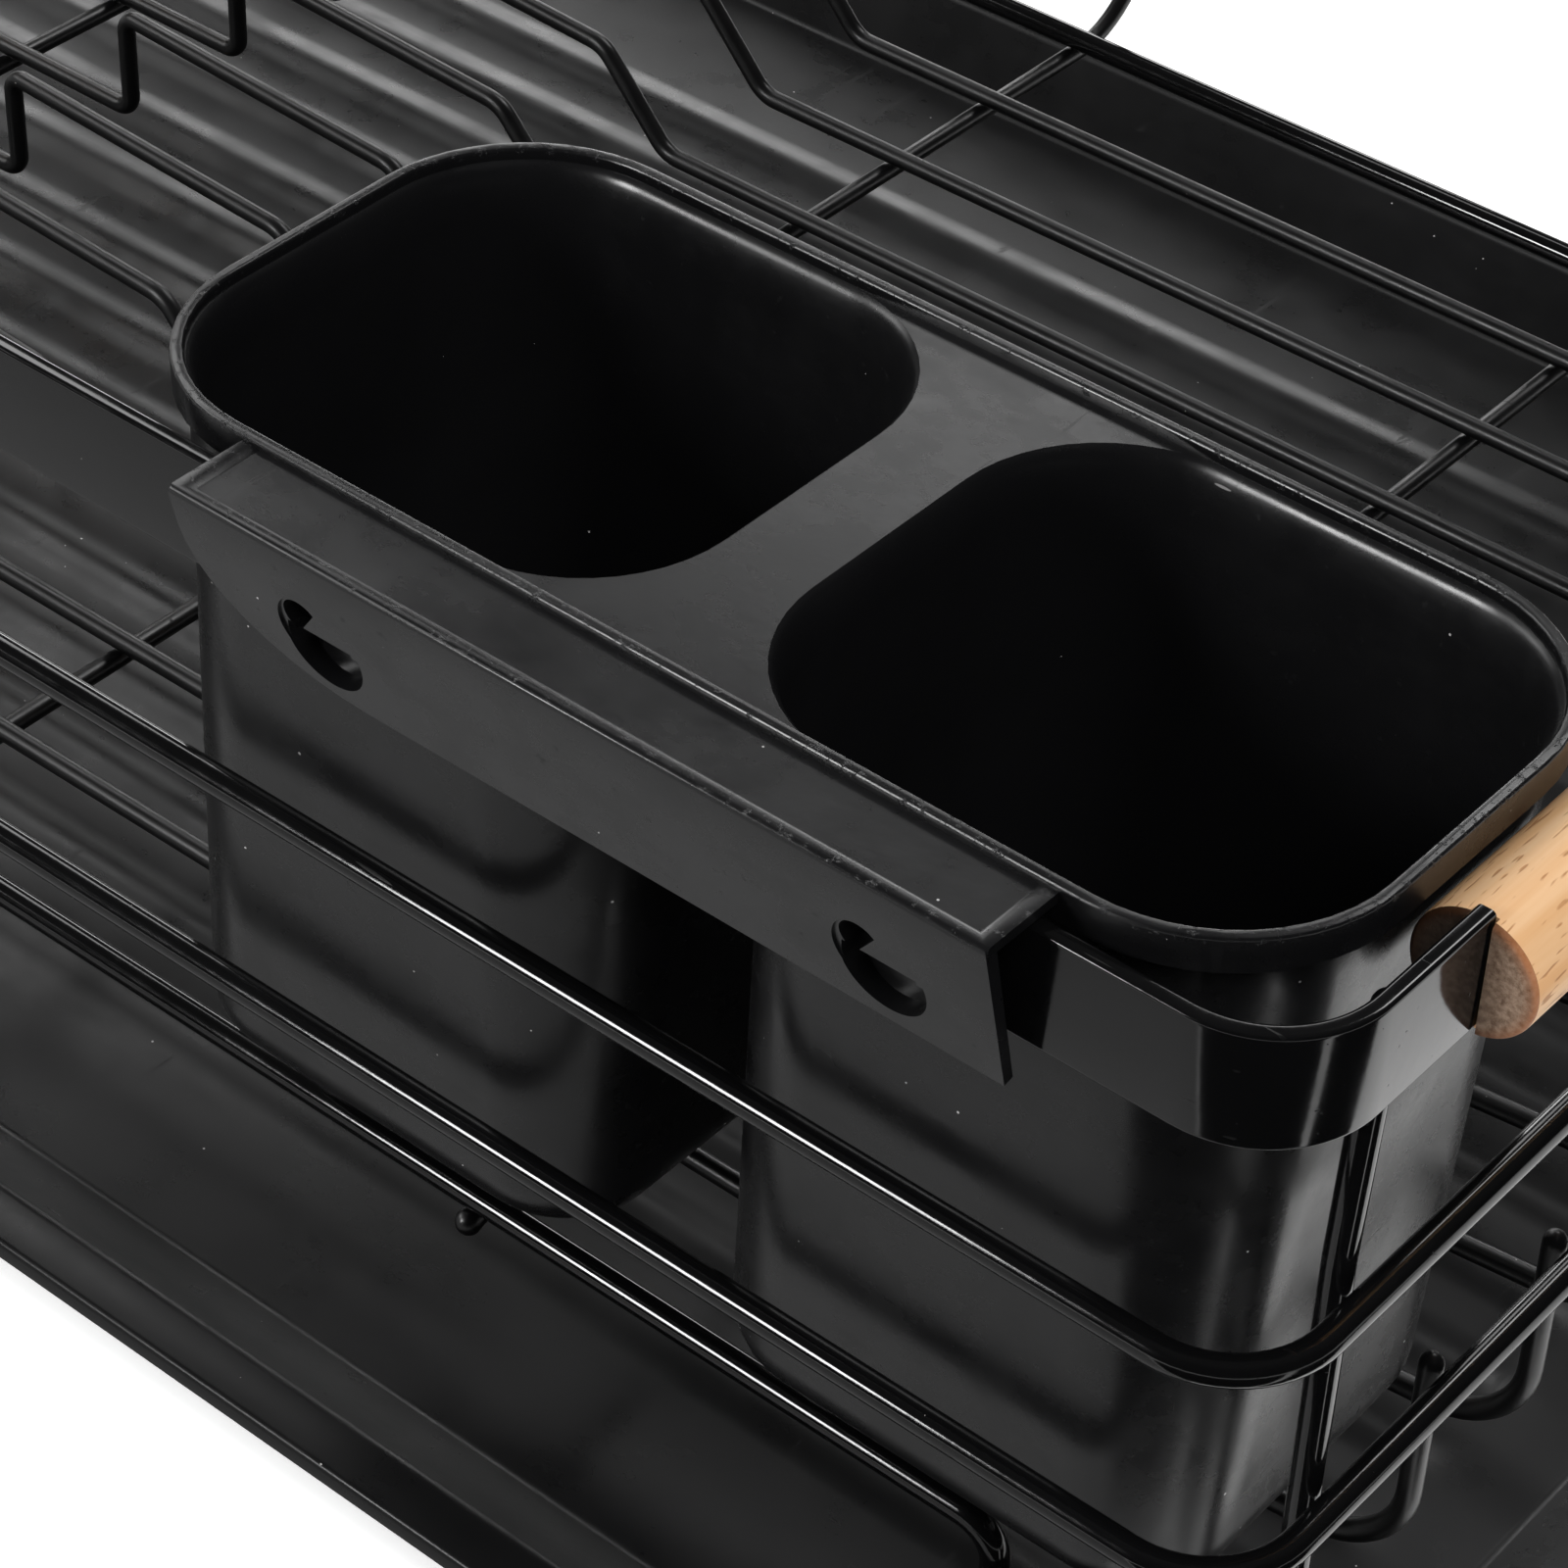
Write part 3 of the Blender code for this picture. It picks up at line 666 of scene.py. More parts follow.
@dataclass
class BentWire:
    """A round wire bent along its corners, with rounded or balled ends."""

    corners: Sequence[Corner]
    diameter: float
    ball_share: float = 1.0
    ball_neck: float = 1.9
    closed: bool = False
    sides: int = 20
    round_steps: int = 4
    tip_share: float = 0.6
    smooth_angle: float = 40

    def build(self, name: str) -> Piece:
        """Bend the wire.

        Args:
            name: The piece's name.

        Returns:
            The wire.
        """
        first, second = self.corners[0].place, self.corners[1].place
        ahead = (second - first).normalized()
        wire = primitive(bpy.ops.mesh.primitive_circle_add, vertices=self.sides, radius=self.diameter / 2,
                         location=first, rotation=ahead.to_track_quat("Z", "Y").to_euler())
        with editing(wire):
            if self.closed:
                follow([*self.corners, self.corners[0]])
            else:
                start = self.round_start(first, ahead)
                last = self.corners[-1].place
                back = (self.corners[-2].place - last).normalized()
                follow([Corner(start), *self.corners[1:-1], Corner(last + back * self.diameter / 2)])
                self.round_finish(last, back)
                cap()
        return settle(wire, name, self.smooth_angle)

    @property
    def tip_angles(self) -> list[float]:
        """The angles of a round end's sections, from its tip to its full width."""
        whole = self.round_steps + self.tip_share
        return [QUARTER * (step + self.tip_share) / whole for step in range(self.round_steps + 1)]

    def round_start(self, tip: Vector, ahead: Vector) -> Vector:
        """Grow the section from a small one at the tip to the wire's own size.

        Args:
            tip: The wire's first end.
            ahead: The way that the wire runs from it.

        Returns:
            The place that the section has reached.
        """
        radius = self.diameter / 2
        ball = radius * self.ball_share
        first, *others = self.tip_angles
        here, size = tip, math.sin(first) * ball
        swell(tip, size / radius)
        for angle in others:
            here = grow(here, tip + ahead * ball * (1 - math.cos(angle)), math.sin(angle) * ball / size)
            size = math.sin(angle) * ball
        if self.ball_share > 1:
            here = grow(here, tip + ahead * ball * self.ball_neck, radius / size)
        return here

    def round_finish(self, tip: Vector, back: Vector) -> None:
        """Shrink the section from the wire's own size to a small one at the tip.

        Args:
            tip: The wire's last end.
            back: The way back along the wire.
        """
        radius = self.diameter / 2
        here, size = tip + back * radius, radius
        for angle in reversed(self.tip_angles[:-1]):
            here = grow(here, tip + back * radius * (1 - math.cos(angle)), math.sin(angle) * radius / size)
            size = math.sin(angle) * radius


@dataclass
class Loft:
    """A closed shape through level loops, each a rectangle with round corners."""

    loops: list[tuple[Pair, float, Pair, float, float]] = field(default_factory=list)
    corner_steps: int = 12

    def loop(self, middle: Pair, level: float, half: Pair, corner: float, inset: float = 0.0) -> None:
        """Note one loop by its middle, level, half sizes and corner radius, and how far it is drawn in."""
        self.loops.append((middle, level, half, corner, inset))

    def build(self, name: str) -> Piece:
        """Bridge the loops in turn and close the two ends.

        Args:
            name: The shape's name.

        Returns:
            The shape.
        """
        shape = primitive(bpy.ops.mesh.primitive_plane_add, size=2)
        with editing(shape):
            for index, (middle, level, half, corner, inset) in enumerate(self.loops):
                if index:
                    bpy.ops.mesh.select_all(action="DESELECT")
                    bpy.ops.mesh.primitive_plane_add(size=2)
                size = less(half, (inset, inset))
                bpy.ops.transform.resize(value=(*size, 1), center_override=(0, 0, 0))
                bpy.ops.mesh.bevel(offset=corner - inset, segments=self.corner_steps, affect="VERTICES")
                bpy.ops.transform.translate(value=(*middle, level))
            bpy.ops.mesh.select_all(action="SELECT")
            bpy.ops.mesh.delete(type="ONLY_FACE")
            bpy.ops.mesh.select_mode(type="EDGE")
            bpy.ops.mesh.select_all(action="SELECT")
            bpy.ops.mesh.bridge_edge_loops()
            cap()
            bpy.ops.mesh.select_all(action="SELECT")
            bpy.ops.mesh.normals_make_consistent(inside=False)
        shape.name = name
        return shape


@dataclass
class RimBand:
    """The rim of flat steel, bent round the front and the back, its ends let into the handles."""

    material: bpy.types.Material
    height: float = 15 * MM
    thickness: float = 2.25 * MM
    edge: float = 0.6 * MM
    edge_steps: int = 5
    corner: float = 14.5 * MM
    corner_steps: int = 20
    end_setback: float = 32.0 * MM
    tongue: tuple[float, float, float] = (1.6 * MM, 9 * MM, 8 * MM)
    tongue_root: float = 2.25 * MM
    tongue_lead: float = 0.4 * MM
    handle_drop: float = 8.3 * MM

    @property
    def side(self) -> float:
        """The middle of the band's thickness on the right side."""
        return RIGHT - self.thickness / 2

    def build(self) -> None:
        """Build and dress both halves."""
        stub = FRONT + self.end_setback
        face = FRONT + self.thickness / 2
        middle = RIM_TOP - self.height / 2
        bend = self.corner - self.thickness / 2
        band = primitive(bpy.ops.mesh.primitive_plane_add, size=1, rotation=(QUARTER, 0, 0))
        with editing(band):
            bpy.ops.transform.resize(value=(self.thickness, 1, self.height))
            bpy.ops.mesh.bevel(offset=self.edge, segments=self.edge_steps, affect="VERTICES")
            bpy.ops.transform.translate(value=(self.side, stub, middle))
            bpy.ops.mesh.delete(type="ONLY_FACE")
            bpy.ops.mesh.select_all(action="SELECT")
            follow(path((self.side, stub, middle), (self.side, face, middle, bend, self.corner_steps),
                        (-self.side, face, middle, bend, self.corner_steps), (-self.side, stub, middle)))
            cap()
        settle(band, "front_band", angle=40)
        carve(band, Carve.JOIN, self.build_tongue(self.side, stub), self.build_tongue(-self.side, stub))
        back = copy_of(band, "back_band", HALF_TURN)
        deliver(band, Body.RACK, self.material, "rim_band_front")
        deliver(back, Body.RACK, self.material, "rim_band_back")

    def build_tongue(self, x: float, stub: float) -> Piece:
        """Build the tongue that a handle is pressed onto, its lead end drawn in.

        Args:
            x: The band's place along X.
            stub: The place of the band's end along Y.

        Returns:
            The tongue.
        """
        width, length, height = self.tongue
        tongue = block((x, stub + (length - self.tongue_root) / 2, RIM_TOP - self.handle_drop),
                       (width, length + self.tongue_root, height))
        with editing(tongue):
            choose(tongue, lambda face: face.normal.y > FACING, Pick.FACE)
            bpy.ops.mesh.bevel(offset=self.tongue_lead, segments=2)
        return tongue


@dataclass
class Handle:
    """A turned beech handle, sawn at both ends for the band and its tongue."""

    material: bpy.types.Material
    band: RimBand
    diameter: float = 15 * MM
    sides: int = 72
    end_setback: float = 31 * MM
    edge: float = 0.7 * MM
    edge_steps: int = 4

    def build(self) -> None:
        """Build and dress both handles."""
        half = -FRONT - self.end_setback
        level = RIM_TOP - self.band.handle_drop
        handle = primitive(bpy.ops.mesh.primitive_cylinder_add, vertices=self.sides, radius=self.diameter / 2,
                           depth=2 * half, location=(self.band.side, 0, level), rotation=(QUARTER, 0, 0))
        with editing(handle, Pick.FACE):
            choose(handle, lambda face: abs(face.normal.y) > FACING, Pick.FACE)
            bpy.ops.mesh.bevel(offset=self.edge, segments=self.edge_steps)
        width, length, height = self.band.tongue
        gap = 2 * CLEARANCE
        end = -FRONT - self.band.end_setback - CLEARANCE
        past = half + OVERRUN
        for sign in (-1, 1):
            for near, wide, tall in ((end, self.band.thickness + gap, 2 * self.diameter),
                                     (end - length, width + gap, height + gap)):
                slot = block((self.band.side, sign * (near + past) / 2, level), (wide, past - near, tall))
                carve(handle, Carve.CUT, slot)
        settle(handle, "right_handle", angle=30)
        left = copy_of(handle, "left_handle", HALF_TURN)
        deliver(handle, Body.RACK, self.material, "handle_right")
        deliver(left, Body.RACK, self.material, "handle_left")


@dataclass
class WireFrame:
    """The welded wires of the rack: rings, leg frames, floor wires and cross bars."""

    material: bpy.types.Material
    floor_material: bpy.types.Material
    band: RimBand
    frame_sides: int = 24
    ring_inset: float = 1.6 * MM
    ring_bend: float = 12.9 * MM
    upper_ring_drop: float = 47.2 * MM
    lower_ring_drop: float = 78.2 * MM
    leg_front: float = 21.5 * MM
    leg_back: float = 25.0 * MM
    foot_length: float = 39 * MM
    outer_bend: float = 11 * MM
    inner_bend: float = 5 * MM
    leg_top_drop: float = 6 * MM
    foot_level: float = 2.0 * MM
    wire_count: int = 10
    wire_first: float = 45 * MM
    wire_pitch: float = 25 * MM
    end_bend: float = 14 * MM
    end_lift: float = 5 * MM
    end_run: float = 42 * MM
    hump_outer: float = 343.4 * MM
    hump_kink: float = 283 * MM
    hump_inner: float = 269 * MM
    hump_height: float = 18 * MM
    hump_kink_height: float = 15 * MM
    hump_bend: float = 2.8 * MM
    hump_soft_bend: float = 6 * MM
    bar_places: tuple[float, ...] = (127.4 * MM, 242 * MM, 374 * MM)
    bar_front: float = 18.5 * MM
    bar_bend: float = 17.5 * MM
    ball: float = 3.7 * MM

    def build(self) -> None:
        """Build and dress all of the wires."""
        self.build_rings()
        self.build_legs()
        self.build_floor_wires()
        self.build_cross_bars()

    def build_rings(self) -> None:
        """Bend the two closed side rings."""
        half_x, half_y = RIGHT - self.ring_inset, -FRONT - self.ring_inset
        level = RIM_TOP - self.upper_ring_drop
        bends = [(x, y, level, self.ring_bend, 14)
                 for x, y in ((half_x, half_y), (-half_x, half_y), (-half_x, -half_y), (half_x, -half_y))]
        corners = path((half_x, 0, level), *bends)
        upper = BentWire(corners, FRAME_WIRE, closed=True, sides=self.frame_sides).build("upper_ring")
        fall = Matrix.Translation((0, 0, self.upper_ring_drop - self.lower_ring_drop))
        lower = copy_of(upper, "lower_ring", fall)
        deliver(upper, Body.RACK, self.material, "ring_upper")
        deliver(lower, Body.RACK, self.material, "ring_lower")

    def leg_corners(self, side: int) -> list[Corner]:
        """Give one side's corners of a leg frame, from the upright's top to the wire under the floor.

        Args:
            side: 1 on the right and -1 on the left.

        Returns:
            The corners, in order.
        """
        radius = FRAME_WIRE / 2
        top = RIGHT - self.band.thickness - CLEARANCE - radius
        upright = RIGHT - self.ring_inset - FRAME_WIRE - CLEARANCE
        inner = upright - self.foot_length
        foot = self.foot_level + radius
        crossing = BAR_LEVEL + FLOOR_WIRE / 2 + CLEARANCE + radius
        shoulder = RIM_TOP - self.upper_ring_drop + FRAME_WIRE
        return path((side * top, 0, RIM_TOP - self.leg_top_drop),
                    (side * upright, 0, shoulder, self.outer_bend, 4),
                    (side * upright, 0, foot, self.outer_bend, 12),
                    (side * inner, 0, foot, self.inner_bend, 10),
                    (side * inner, 0, crossing, self.inner_bend, 10))

    def build_legs(self) -> None:
        """Bend the front and back leg frames."""
        corners = self.leg_corners(1) + list(reversed(self.leg_corners(-1)))
        legs = BentWire(corners, FRAME_WIRE, sides=self.frame_sides).build("front_legs")
        back = copy_of(legs, "back_legs", Matrix.Translation((0, -FRONT - self.leg_back, 0)))
        legs.data.transform(Matrix.Translation((0, FRONT + self.leg_front, 0)))
        deliver(legs, Body.RACK, self.material, "leg_frame_front")
        deliver(back, Body.RACK, self.material, "leg_frame_back")

    def build_floor_wires(self) -> None:
        """Bend one floor wire with its plate divider and copy it along the floor."""
        shaft = RIGHT - SHAFT_INSET
        level_end = shaft - self.end_run
        low, lift = FLOOR_LEVEL, FLOOR_LEVEL + self.end_lift
        corners = path(
            (shaft, 0, SHAFT_TOP), (shaft, 0, lift, self.end_bend, 12), (level_end, 0, low, self.end_run, 6),
            (RIGHT - self.hump_inner, 0, low, self.hump_soft_bend, 5),
            (RIGHT - self.hump_kink, 0, low + self.hump_kink_height, self.hump_soft_bend, 5),
            (RIGHT - self.hump_outer, 0, low + self.hump_height, self.hump_bend, 10),
            (RIGHT - self.hump_outer, 0, low, self.hump_bend, 8),
            (-level_end, 0, low, self.end_run, 6), (-shaft, 0, lift, self.end_bend, 12),
            (-shaft, 0, SHAFT_TOP))
        wire = BentWire(corners, FLOOR_WIRE).build("floor_wire")
        for index in range(self.wire_count):
            move = Matrix.Translation((0, FRONT + self.wire_first + index * self.wire_pitch, 0))
            other = copy_of(wire, f"plate_wire_{index + 1:02d}", move)
            deliver(other, Body.RACK, self.floor_material, f"floor_wire_{index + 1:02d}")
        bpy.data.objects.remove(wire, do_unlink=True)

    def build_cross_bars(self) -> None:
        """Bend one bar under the floor, ball ended in front, and copy it."""
        shaft = -FRONT - SHAFT_INSET
        corners = path((0, FRONT + self.bar_front, BAR_LEVEL), (0, shaft, BAR_LEVEL, self.bar_bend, 12),
                       (0, shaft, SHAFT_TOP))
        bar = BentWire(corners, FLOOR_WIRE, ball_share=self.ball / FLOOR_WIRE).build("bar")
        for index, place in enumerate(self.bar_places):
            other = copy_of(bar, f"under_bar_{index + 1}", Matrix.Translation((RIGHT - place, 0, 0)))
            deliver(other, Body.RACK, self.floor_material, f"cross_bar_{index + 1}")
        bpy.data.objects.remove(bar, do_unlink=True)


@dataclass
class CutleryHolder:
    """The moulded cutlery holder: two cups in one rim, and a hook over the band."""

    material: bpy.types.Material
    side_gap: float = 7 * MM
    front_gap: float = 3.7 * MM
    rim_rise: float = 3 * MM
    rim_depth: float = 4.4 * MM
    lip: float = 1.6 * MM
    lip_round: float = 0.45 * MM
    lip_steps: int = 3
    moulded_edge: float = 0.32 * MM
    edge_angle: float = 50
    web_drop: float = 1.5 * MM
    cup_length: float = 72.5 * MM
    cup_width: float = 66.6 * MM
    cup_gap: float = 11.8 * MM
    cup_corner: float = 20.5 * MM
    cup_step: float = 0.3 * MM
    wall: float = 1.5 * MM
    mouth: tuple[tuple[float, float], ...] = (
        (6.5 * MM, 1.0), (4.2 * MM, 0.89), (2.8 * MM, 0.77), (1.8 * MM, 0.64), (1.1 * MM, 0.51),
        (0.6 * MM, 0.38), (0.25 * MM, 0.23), (0.0, 0.07))
    draft: Pair = (2.2 * MM, 3.6 * MM)
    lean: Pair = (2.0 * MM, 2.4 * MM)
    bottom_corner: float = 14 * MM
    bottom_drop: float = 99.3 * MM
    bottom_round: float = 9 * MM
    bottom_steps: int = 7
    hook_right: float = 32 * MM
    hook_left: float = 142.5 * MM
    hook_thickness: float = 1.8 * MM
    hook_reach: float = 7.8 * MM
    hook_depth: float = 19 * MM
    hook_edge: float = 0.9 * MM
    hook_edge_steps: int = 4
    toe_reach: float = 2.8 * MM
    toe_corner: Pair = (24 * MM, 16 * MM)
    toe_steps: int = 10
    border: float = 1.5 * MM
    border_rise: float = 0.4 * MM
    border_slope: float = 0.7 * MM
    border_hold: float = 0.2 * MM
    keyholes: tuple[float, ...] = (46.4 * MM, 123 * MM)
    keyhole_drop: float = 11.6 * MM
    keyhole_radius: float = 5.5 * MM
    keyhole_chord: float = 10.0 * MM
    keyhole_depth: float = 7 * MM
    keyhole_back: float = 0.8 * MM
    keyhole_sides: int = 56
    field_depth: float = 0.4 * MM
    field_shift: Pair = (0.9 * MM, 1.7 * MM)
    field_inset: float = 0.15 * MM
    small_radius: float = 2.6 * MM
    small_shift: Pair = (2.8 * MM, 3.1 * MM)
    small_cut: float = 3.0 * MM
    small_slant: tuple[float, float, float] = (0.80, 0, -0.60)
    small_sides: int = 40
    collar_wall: float = 1.5 * MM
    collar_rise: float = 1.2 * MM
    collar_sink: float = 0.7 * MM
    collar_sides: int = 48

    @property
    def length(self) -> float:
        """The rim's length."""
        return 2 * self.cup_length + self.cup_gap + 2 * self.lip

    @property
    def width(self) -> float:
        """The rim's width."""
        return self.cup_width + 2 * self.lip

    @property
    def middle(self) -> Pair:
        """The middle of the rim in plan."""
        return RIGHT - self.side_gap - self.length / 2, FRONT + self.front_gap + self.width / 2

    @property
    def cup_half(self) -> Pair:
        """Half of a cup's length and width at its mouth."""
        return self.cup_length / 2, self.cup_width / 2

    @property
    def rounding(self) -> list[Pair]:
        """The lip's rounding, each step as how far it is drawn in and how far it is under the top."""
        turns = [QUARTER * step / self.lip_steps for step in range(self.lip_steps + 1)]
        return [tuple(self.lip_round * (1 - way(turn)) for way in (math.cos, math.sin)) for turn in turns]

    @property
    def toe_way(self) -> Vector:
        """The way that the toe faces, square to it."""
        slant = math.atan2(self.hook_reach - self.toe_reach, self.hook_depth + self.hook_thickness)
        return Vector((0, -math.cos(slant), -math.sin(slant)))

    def build(self) -> None:
        """Build and dress the holder."""
        web = self.rim_rise - self.web_drop
        holder = self.rim()
        x, y = self.middle
        places = [(x + side * (self.cup_length + self.cup_gap) / 2, y) for side in (-1, 1)]
        for place in places:
            carve(holder, Carve.JOIN, self.cup(place, web - CLEARANCE))
        carve(holder, Carve.JOIN, self.hook())
        carve(holder, Carve.CUT, self.pocket(web))
        for place in places:
            carve(holder, Carve.CUT, self.hollow(place, web))
        for place in self.keyholes:
            carve(holder, Carve.JOIN, self.collar(RIGHT - place))
            carve(holder, Carve.CUT, *self.keyhole_tools(RIGHT - place))
        settle(holder, "cutlery_cups", angle=30)
        finish_with(holder, "BEVEL", width=self.moulded_edge, segments=2, limit_method="ANGLE",
                    angle_limit=math.radians(self.edge_angle))
        settle(holder, "cutlery_cups", angle=38)
        deliver(holder, Body.HOLDER, self.material, "cutlery_holder")

    def rim(self) -> Piece:
        """Build the rim as a slab with a rounded top edge.

        Returns:
            The slab.
        """
        top = RIM_TOP + self.rim_rise
        half = self.length / 2, self.width / 2
        shape = Loft()
        for inward, fall in [(0.0, self.rim_depth), *self.rounding]:
            shape.loop(self.middle, top - fall, half, self.cup_corner + self.lip, inward)
        return shape.build("holder")

    def pocket(self, web: float) -> Piece:
        """Build the hollow over the web, flared at the lip.

        Args:
            web: The web's level over the band's top.

        Returns:
            The shape that is cut out.
        """
        half = self.length / 2 - self.lip, self.cup_width / 2
        steps = [(0.0, web), *((flare, self.rim_rise - fall) for flare, fall in self.rounding)]
        steps.append((steps[-1][0], self.rim_rise + OVERRUN))
        shape = Loft()
        for flare, level in steps:
            shape.loop(self.middle, RIM_TOP + level, half, self.cup_corner, -flare)
        return shape.build("pocket")

    def bottom(self, middle: Pair, inset: float, depth: float) -> Loft:
        """Start a cup's shape with its bottom and the rounded edge round it.

        Args:
            middle: The middle of the cup's mouth.
            inset: How far the shape is inside the cup's outline.
            depth: How far its bottom is under the band's top.

        Returns:
            The shape so far.
        """
        shape = Loft()
        edge = self.bottom_round - inset
        for step in range(self.bottom_steps + 1):
            turn = QUARTER * step / self.bottom_steps
            shrink = edge * (1 - math.sin(turn)) + inset
            shape.loop(less(middle, self.lean), RIM_TOP + edge * (1 - math.cos(turn)) - depth,
                       less(self.cup_half, self.draft), self.bottom_corner, shrink)
        return shape

    def cup(self, middle: Pair, top: float) -> Piece:
        """Build a cup's outside.

        Args:
            middle: The middle of the cup's mouth.
            top: How far it goes up into the rim, from the band's top.

        Returns:
            The shape that is joined to the rim.
        """
        shape = self.bottom(middle, self.cup_step, self.bottom_drop)
        for level in (0.0, top):
            shape.loop(middle, RIM_TOP + level, self.cup_half, self.cup_corner, self.cup_step)
        return shape.build("cup")

    def hollow(self, middle: Pair, web: float) -> Piece:
        """Build a cup's inside, its mouth rolled out to the web and the lip.

        Args:
            middle: The middle of the cup's mouth.
            web: The web's level over the band's top.

        Returns:
            The shape that is cut out.
        """
        inset = self.cup_step + self.wall
        depth = self.bottom_drop - self.wall
        shape = self.bottom(middle, inset, depth)
        for fall, share in (*self.mouth, (-self.rim_rise * 3, self.mouth[-1][1])):
            part = max(fall, 0) / (depth + web)
            shape.loop(less(middle, self.lean, part), RIM_TOP + web - fall,
                       less(self.cup_half, self.draft, part),
                       self.cup_corner + (self.bottom_corner - self.cup_corner) * part, inset * share)
        return shape.build("hollow")

    def hook(self) -> Piece:
        """Build the hook: a bordered shelf over the band, its front edge turned down into a leaning toe.

        Returns:
            The hook.
        """
        left, right = RIGHT - self.hook_left, RIGHT - self.hook_right
        back = FRONT + self.front_gap + self.lip + self.border / 2
        front = FRONT - self.hook_reach
        level = RIM_TOP + CLEARANCE + self.hook_thickness
        near = 0.1 * MM
        sheet = primitive(bpy.ops.mesh.primitive_plane_add, size=1)
        with editing(sheet, Pick.FACE):
            bpy.ops.transform.resize(value=(right - left, back - front, 1), center_override=(0, 0, 0))
            bpy.ops.transform.translate(value=((left + right) / 2, (back + front) / 2, level))
            bpy.ops.mesh.inset(thickness=self.border, depth=0)
            bpy.ops.mesh.inset(thickness=self.border_slope, depth=-self.border_rise)
            bpy.ops.mesh.inset(thickness=self.border_hold, depth=0)
            choose(sheet, lambda place: place.y < front + near, Pick.EDGE)
            extrude(Vector((0, self.hook_reach - self.toe_reach, -self.hook_depth - level + RIM_TOP)))
            choose(sheet, lambda place: place.z < RIM_TOP - self.hook_depth / 2 and place.x < left + near,
                   Pick.VERTEX)
            bpy.ops.mesh.bevel(offset=self.toe_corner[1], segments=self.toe_steps, affect="VERTICES")
            bpy.ops.transform.resize(value=(self.toe_corner[0] / self.toe_corner[1], 1, 1),
                                     center_override=(left, 0, level))
            choose(sheet, lambda place: place.y < front + near and place.z > level - near, Pick.EDGE)
            bpy.ops.mesh.bevel(offset=self.hook_edge, segments=self.hook_edge_steps)
        finish_with(sheet, "SOLIDIFY", thickness=self.hook_thickness - self.border_rise, offset=-1.0,
                    use_even_offset=True)
        with editing(sheet):
            bpy.ops.mesh.normals_make_consistent(inside=False)
        sheet.data.transform(Matrix.Translation((0, 0, self.border_rise / 2)))
        return sheet

    def keyhole_tools(self, x: float) -> list[Piece]:
        """Build the three cutters of one keyhole, square to the toe.

        Args:
            x: The middle of the keyhole's wide part along X.

        Returns:
            The shallow sunk field, the wide hole cut off by a chord, and the small hole cut off on a slant.
        """
        chord = RIM_TOP - self.keyhole_chord
        sunk = self.toe_disc(x - self.field_shift[0], self.keyhole_drop - self.field_shift[1],
                             self.keyhole_radius - self.field_inset, self.keyhole_sides, self.field_depth)
        wide = self.toe_disc(x, self.keyhole_drop, self.keyhole_radius, self.keyhole_sides,
                             self.keyhole_depth)
        small = self.toe_disc(x - self.small_shift[0], self.keyhole_drop - self.small_shift[1],
                              self.small_radius, self.small_sides, self.keyhole_depth)
        back = (x, FRONT - CLEARANCE - self.keyhole_back, 0)
        cuts = [(wide, (x, 0, chord), (0, 0, 1)), (small, (x - self.small_cut, 0, chord), self.small_slant),
                (wide, back, (0, 1, 0)), (small, back, (0, 1, 0))]
        for tool, place, normal in cuts:
            trim(tool, place, normal)
        return [sunk, wide, small]

    def collar(self, x: float) -> Piece:
        """Build the collar behind a keyhole, from the toe's middle to just short of the band.

        Args:
            x: The middle of the keyhole's wide part along X.

        Returns:
            The collar.
        """
        back = FRONT - CLEARANCE
        front = FRONT - self.hook_reach
        middle = (x - self.field_shift[0], (back + front) / 2, RIM_TOP - self.keyhole_drop + self.collar_rise)
        collar = primitive(bpy.ops.mesh.primitive_cylinder_add, vertices=self.collar_sides,
                           radius=self.keyhole_radius + self.collar_wall, depth=back - front,
                           location=middle, rotation=(QUARTER, 0, 0))
        trim(collar, (x, front + self.collar_sink, RIM_TOP + self.hook_thickness), self.toe_way)
        return collar

    def toe_disc(self, x: float, drop: float, radius: float, sides: int, sink: float) -> Piece:
        """Build a round cutter square to the toe's face.

        Args:
            x: Its middle along X.
            drop: How far its middle is below the band's top.
            radius: Its radius.
            sides: How many sides it has.
            sink: How deep it goes past the toe's face.

        Returns:
            The cutter.
        """
        way = self.toe_way
        share = (drop + self.hook_thickness) / (self.hook_depth + self.hook_thickness)
        front = FRONT - self.hook_reach + share * (self.hook_reach - self.toe_reach)
        length = self.keyhole_depth + OVERRUN
        return primitive(bpy.ops.mesh.primitive_cylinder_add, vertices=sides, radius=radius, depth=length,
                         location=Vector((x, front, RIM_TOP - drop)) + way * (length / 2 - sink),
                         rotation=way.to_track_quat("Z", "Y").to_euler())


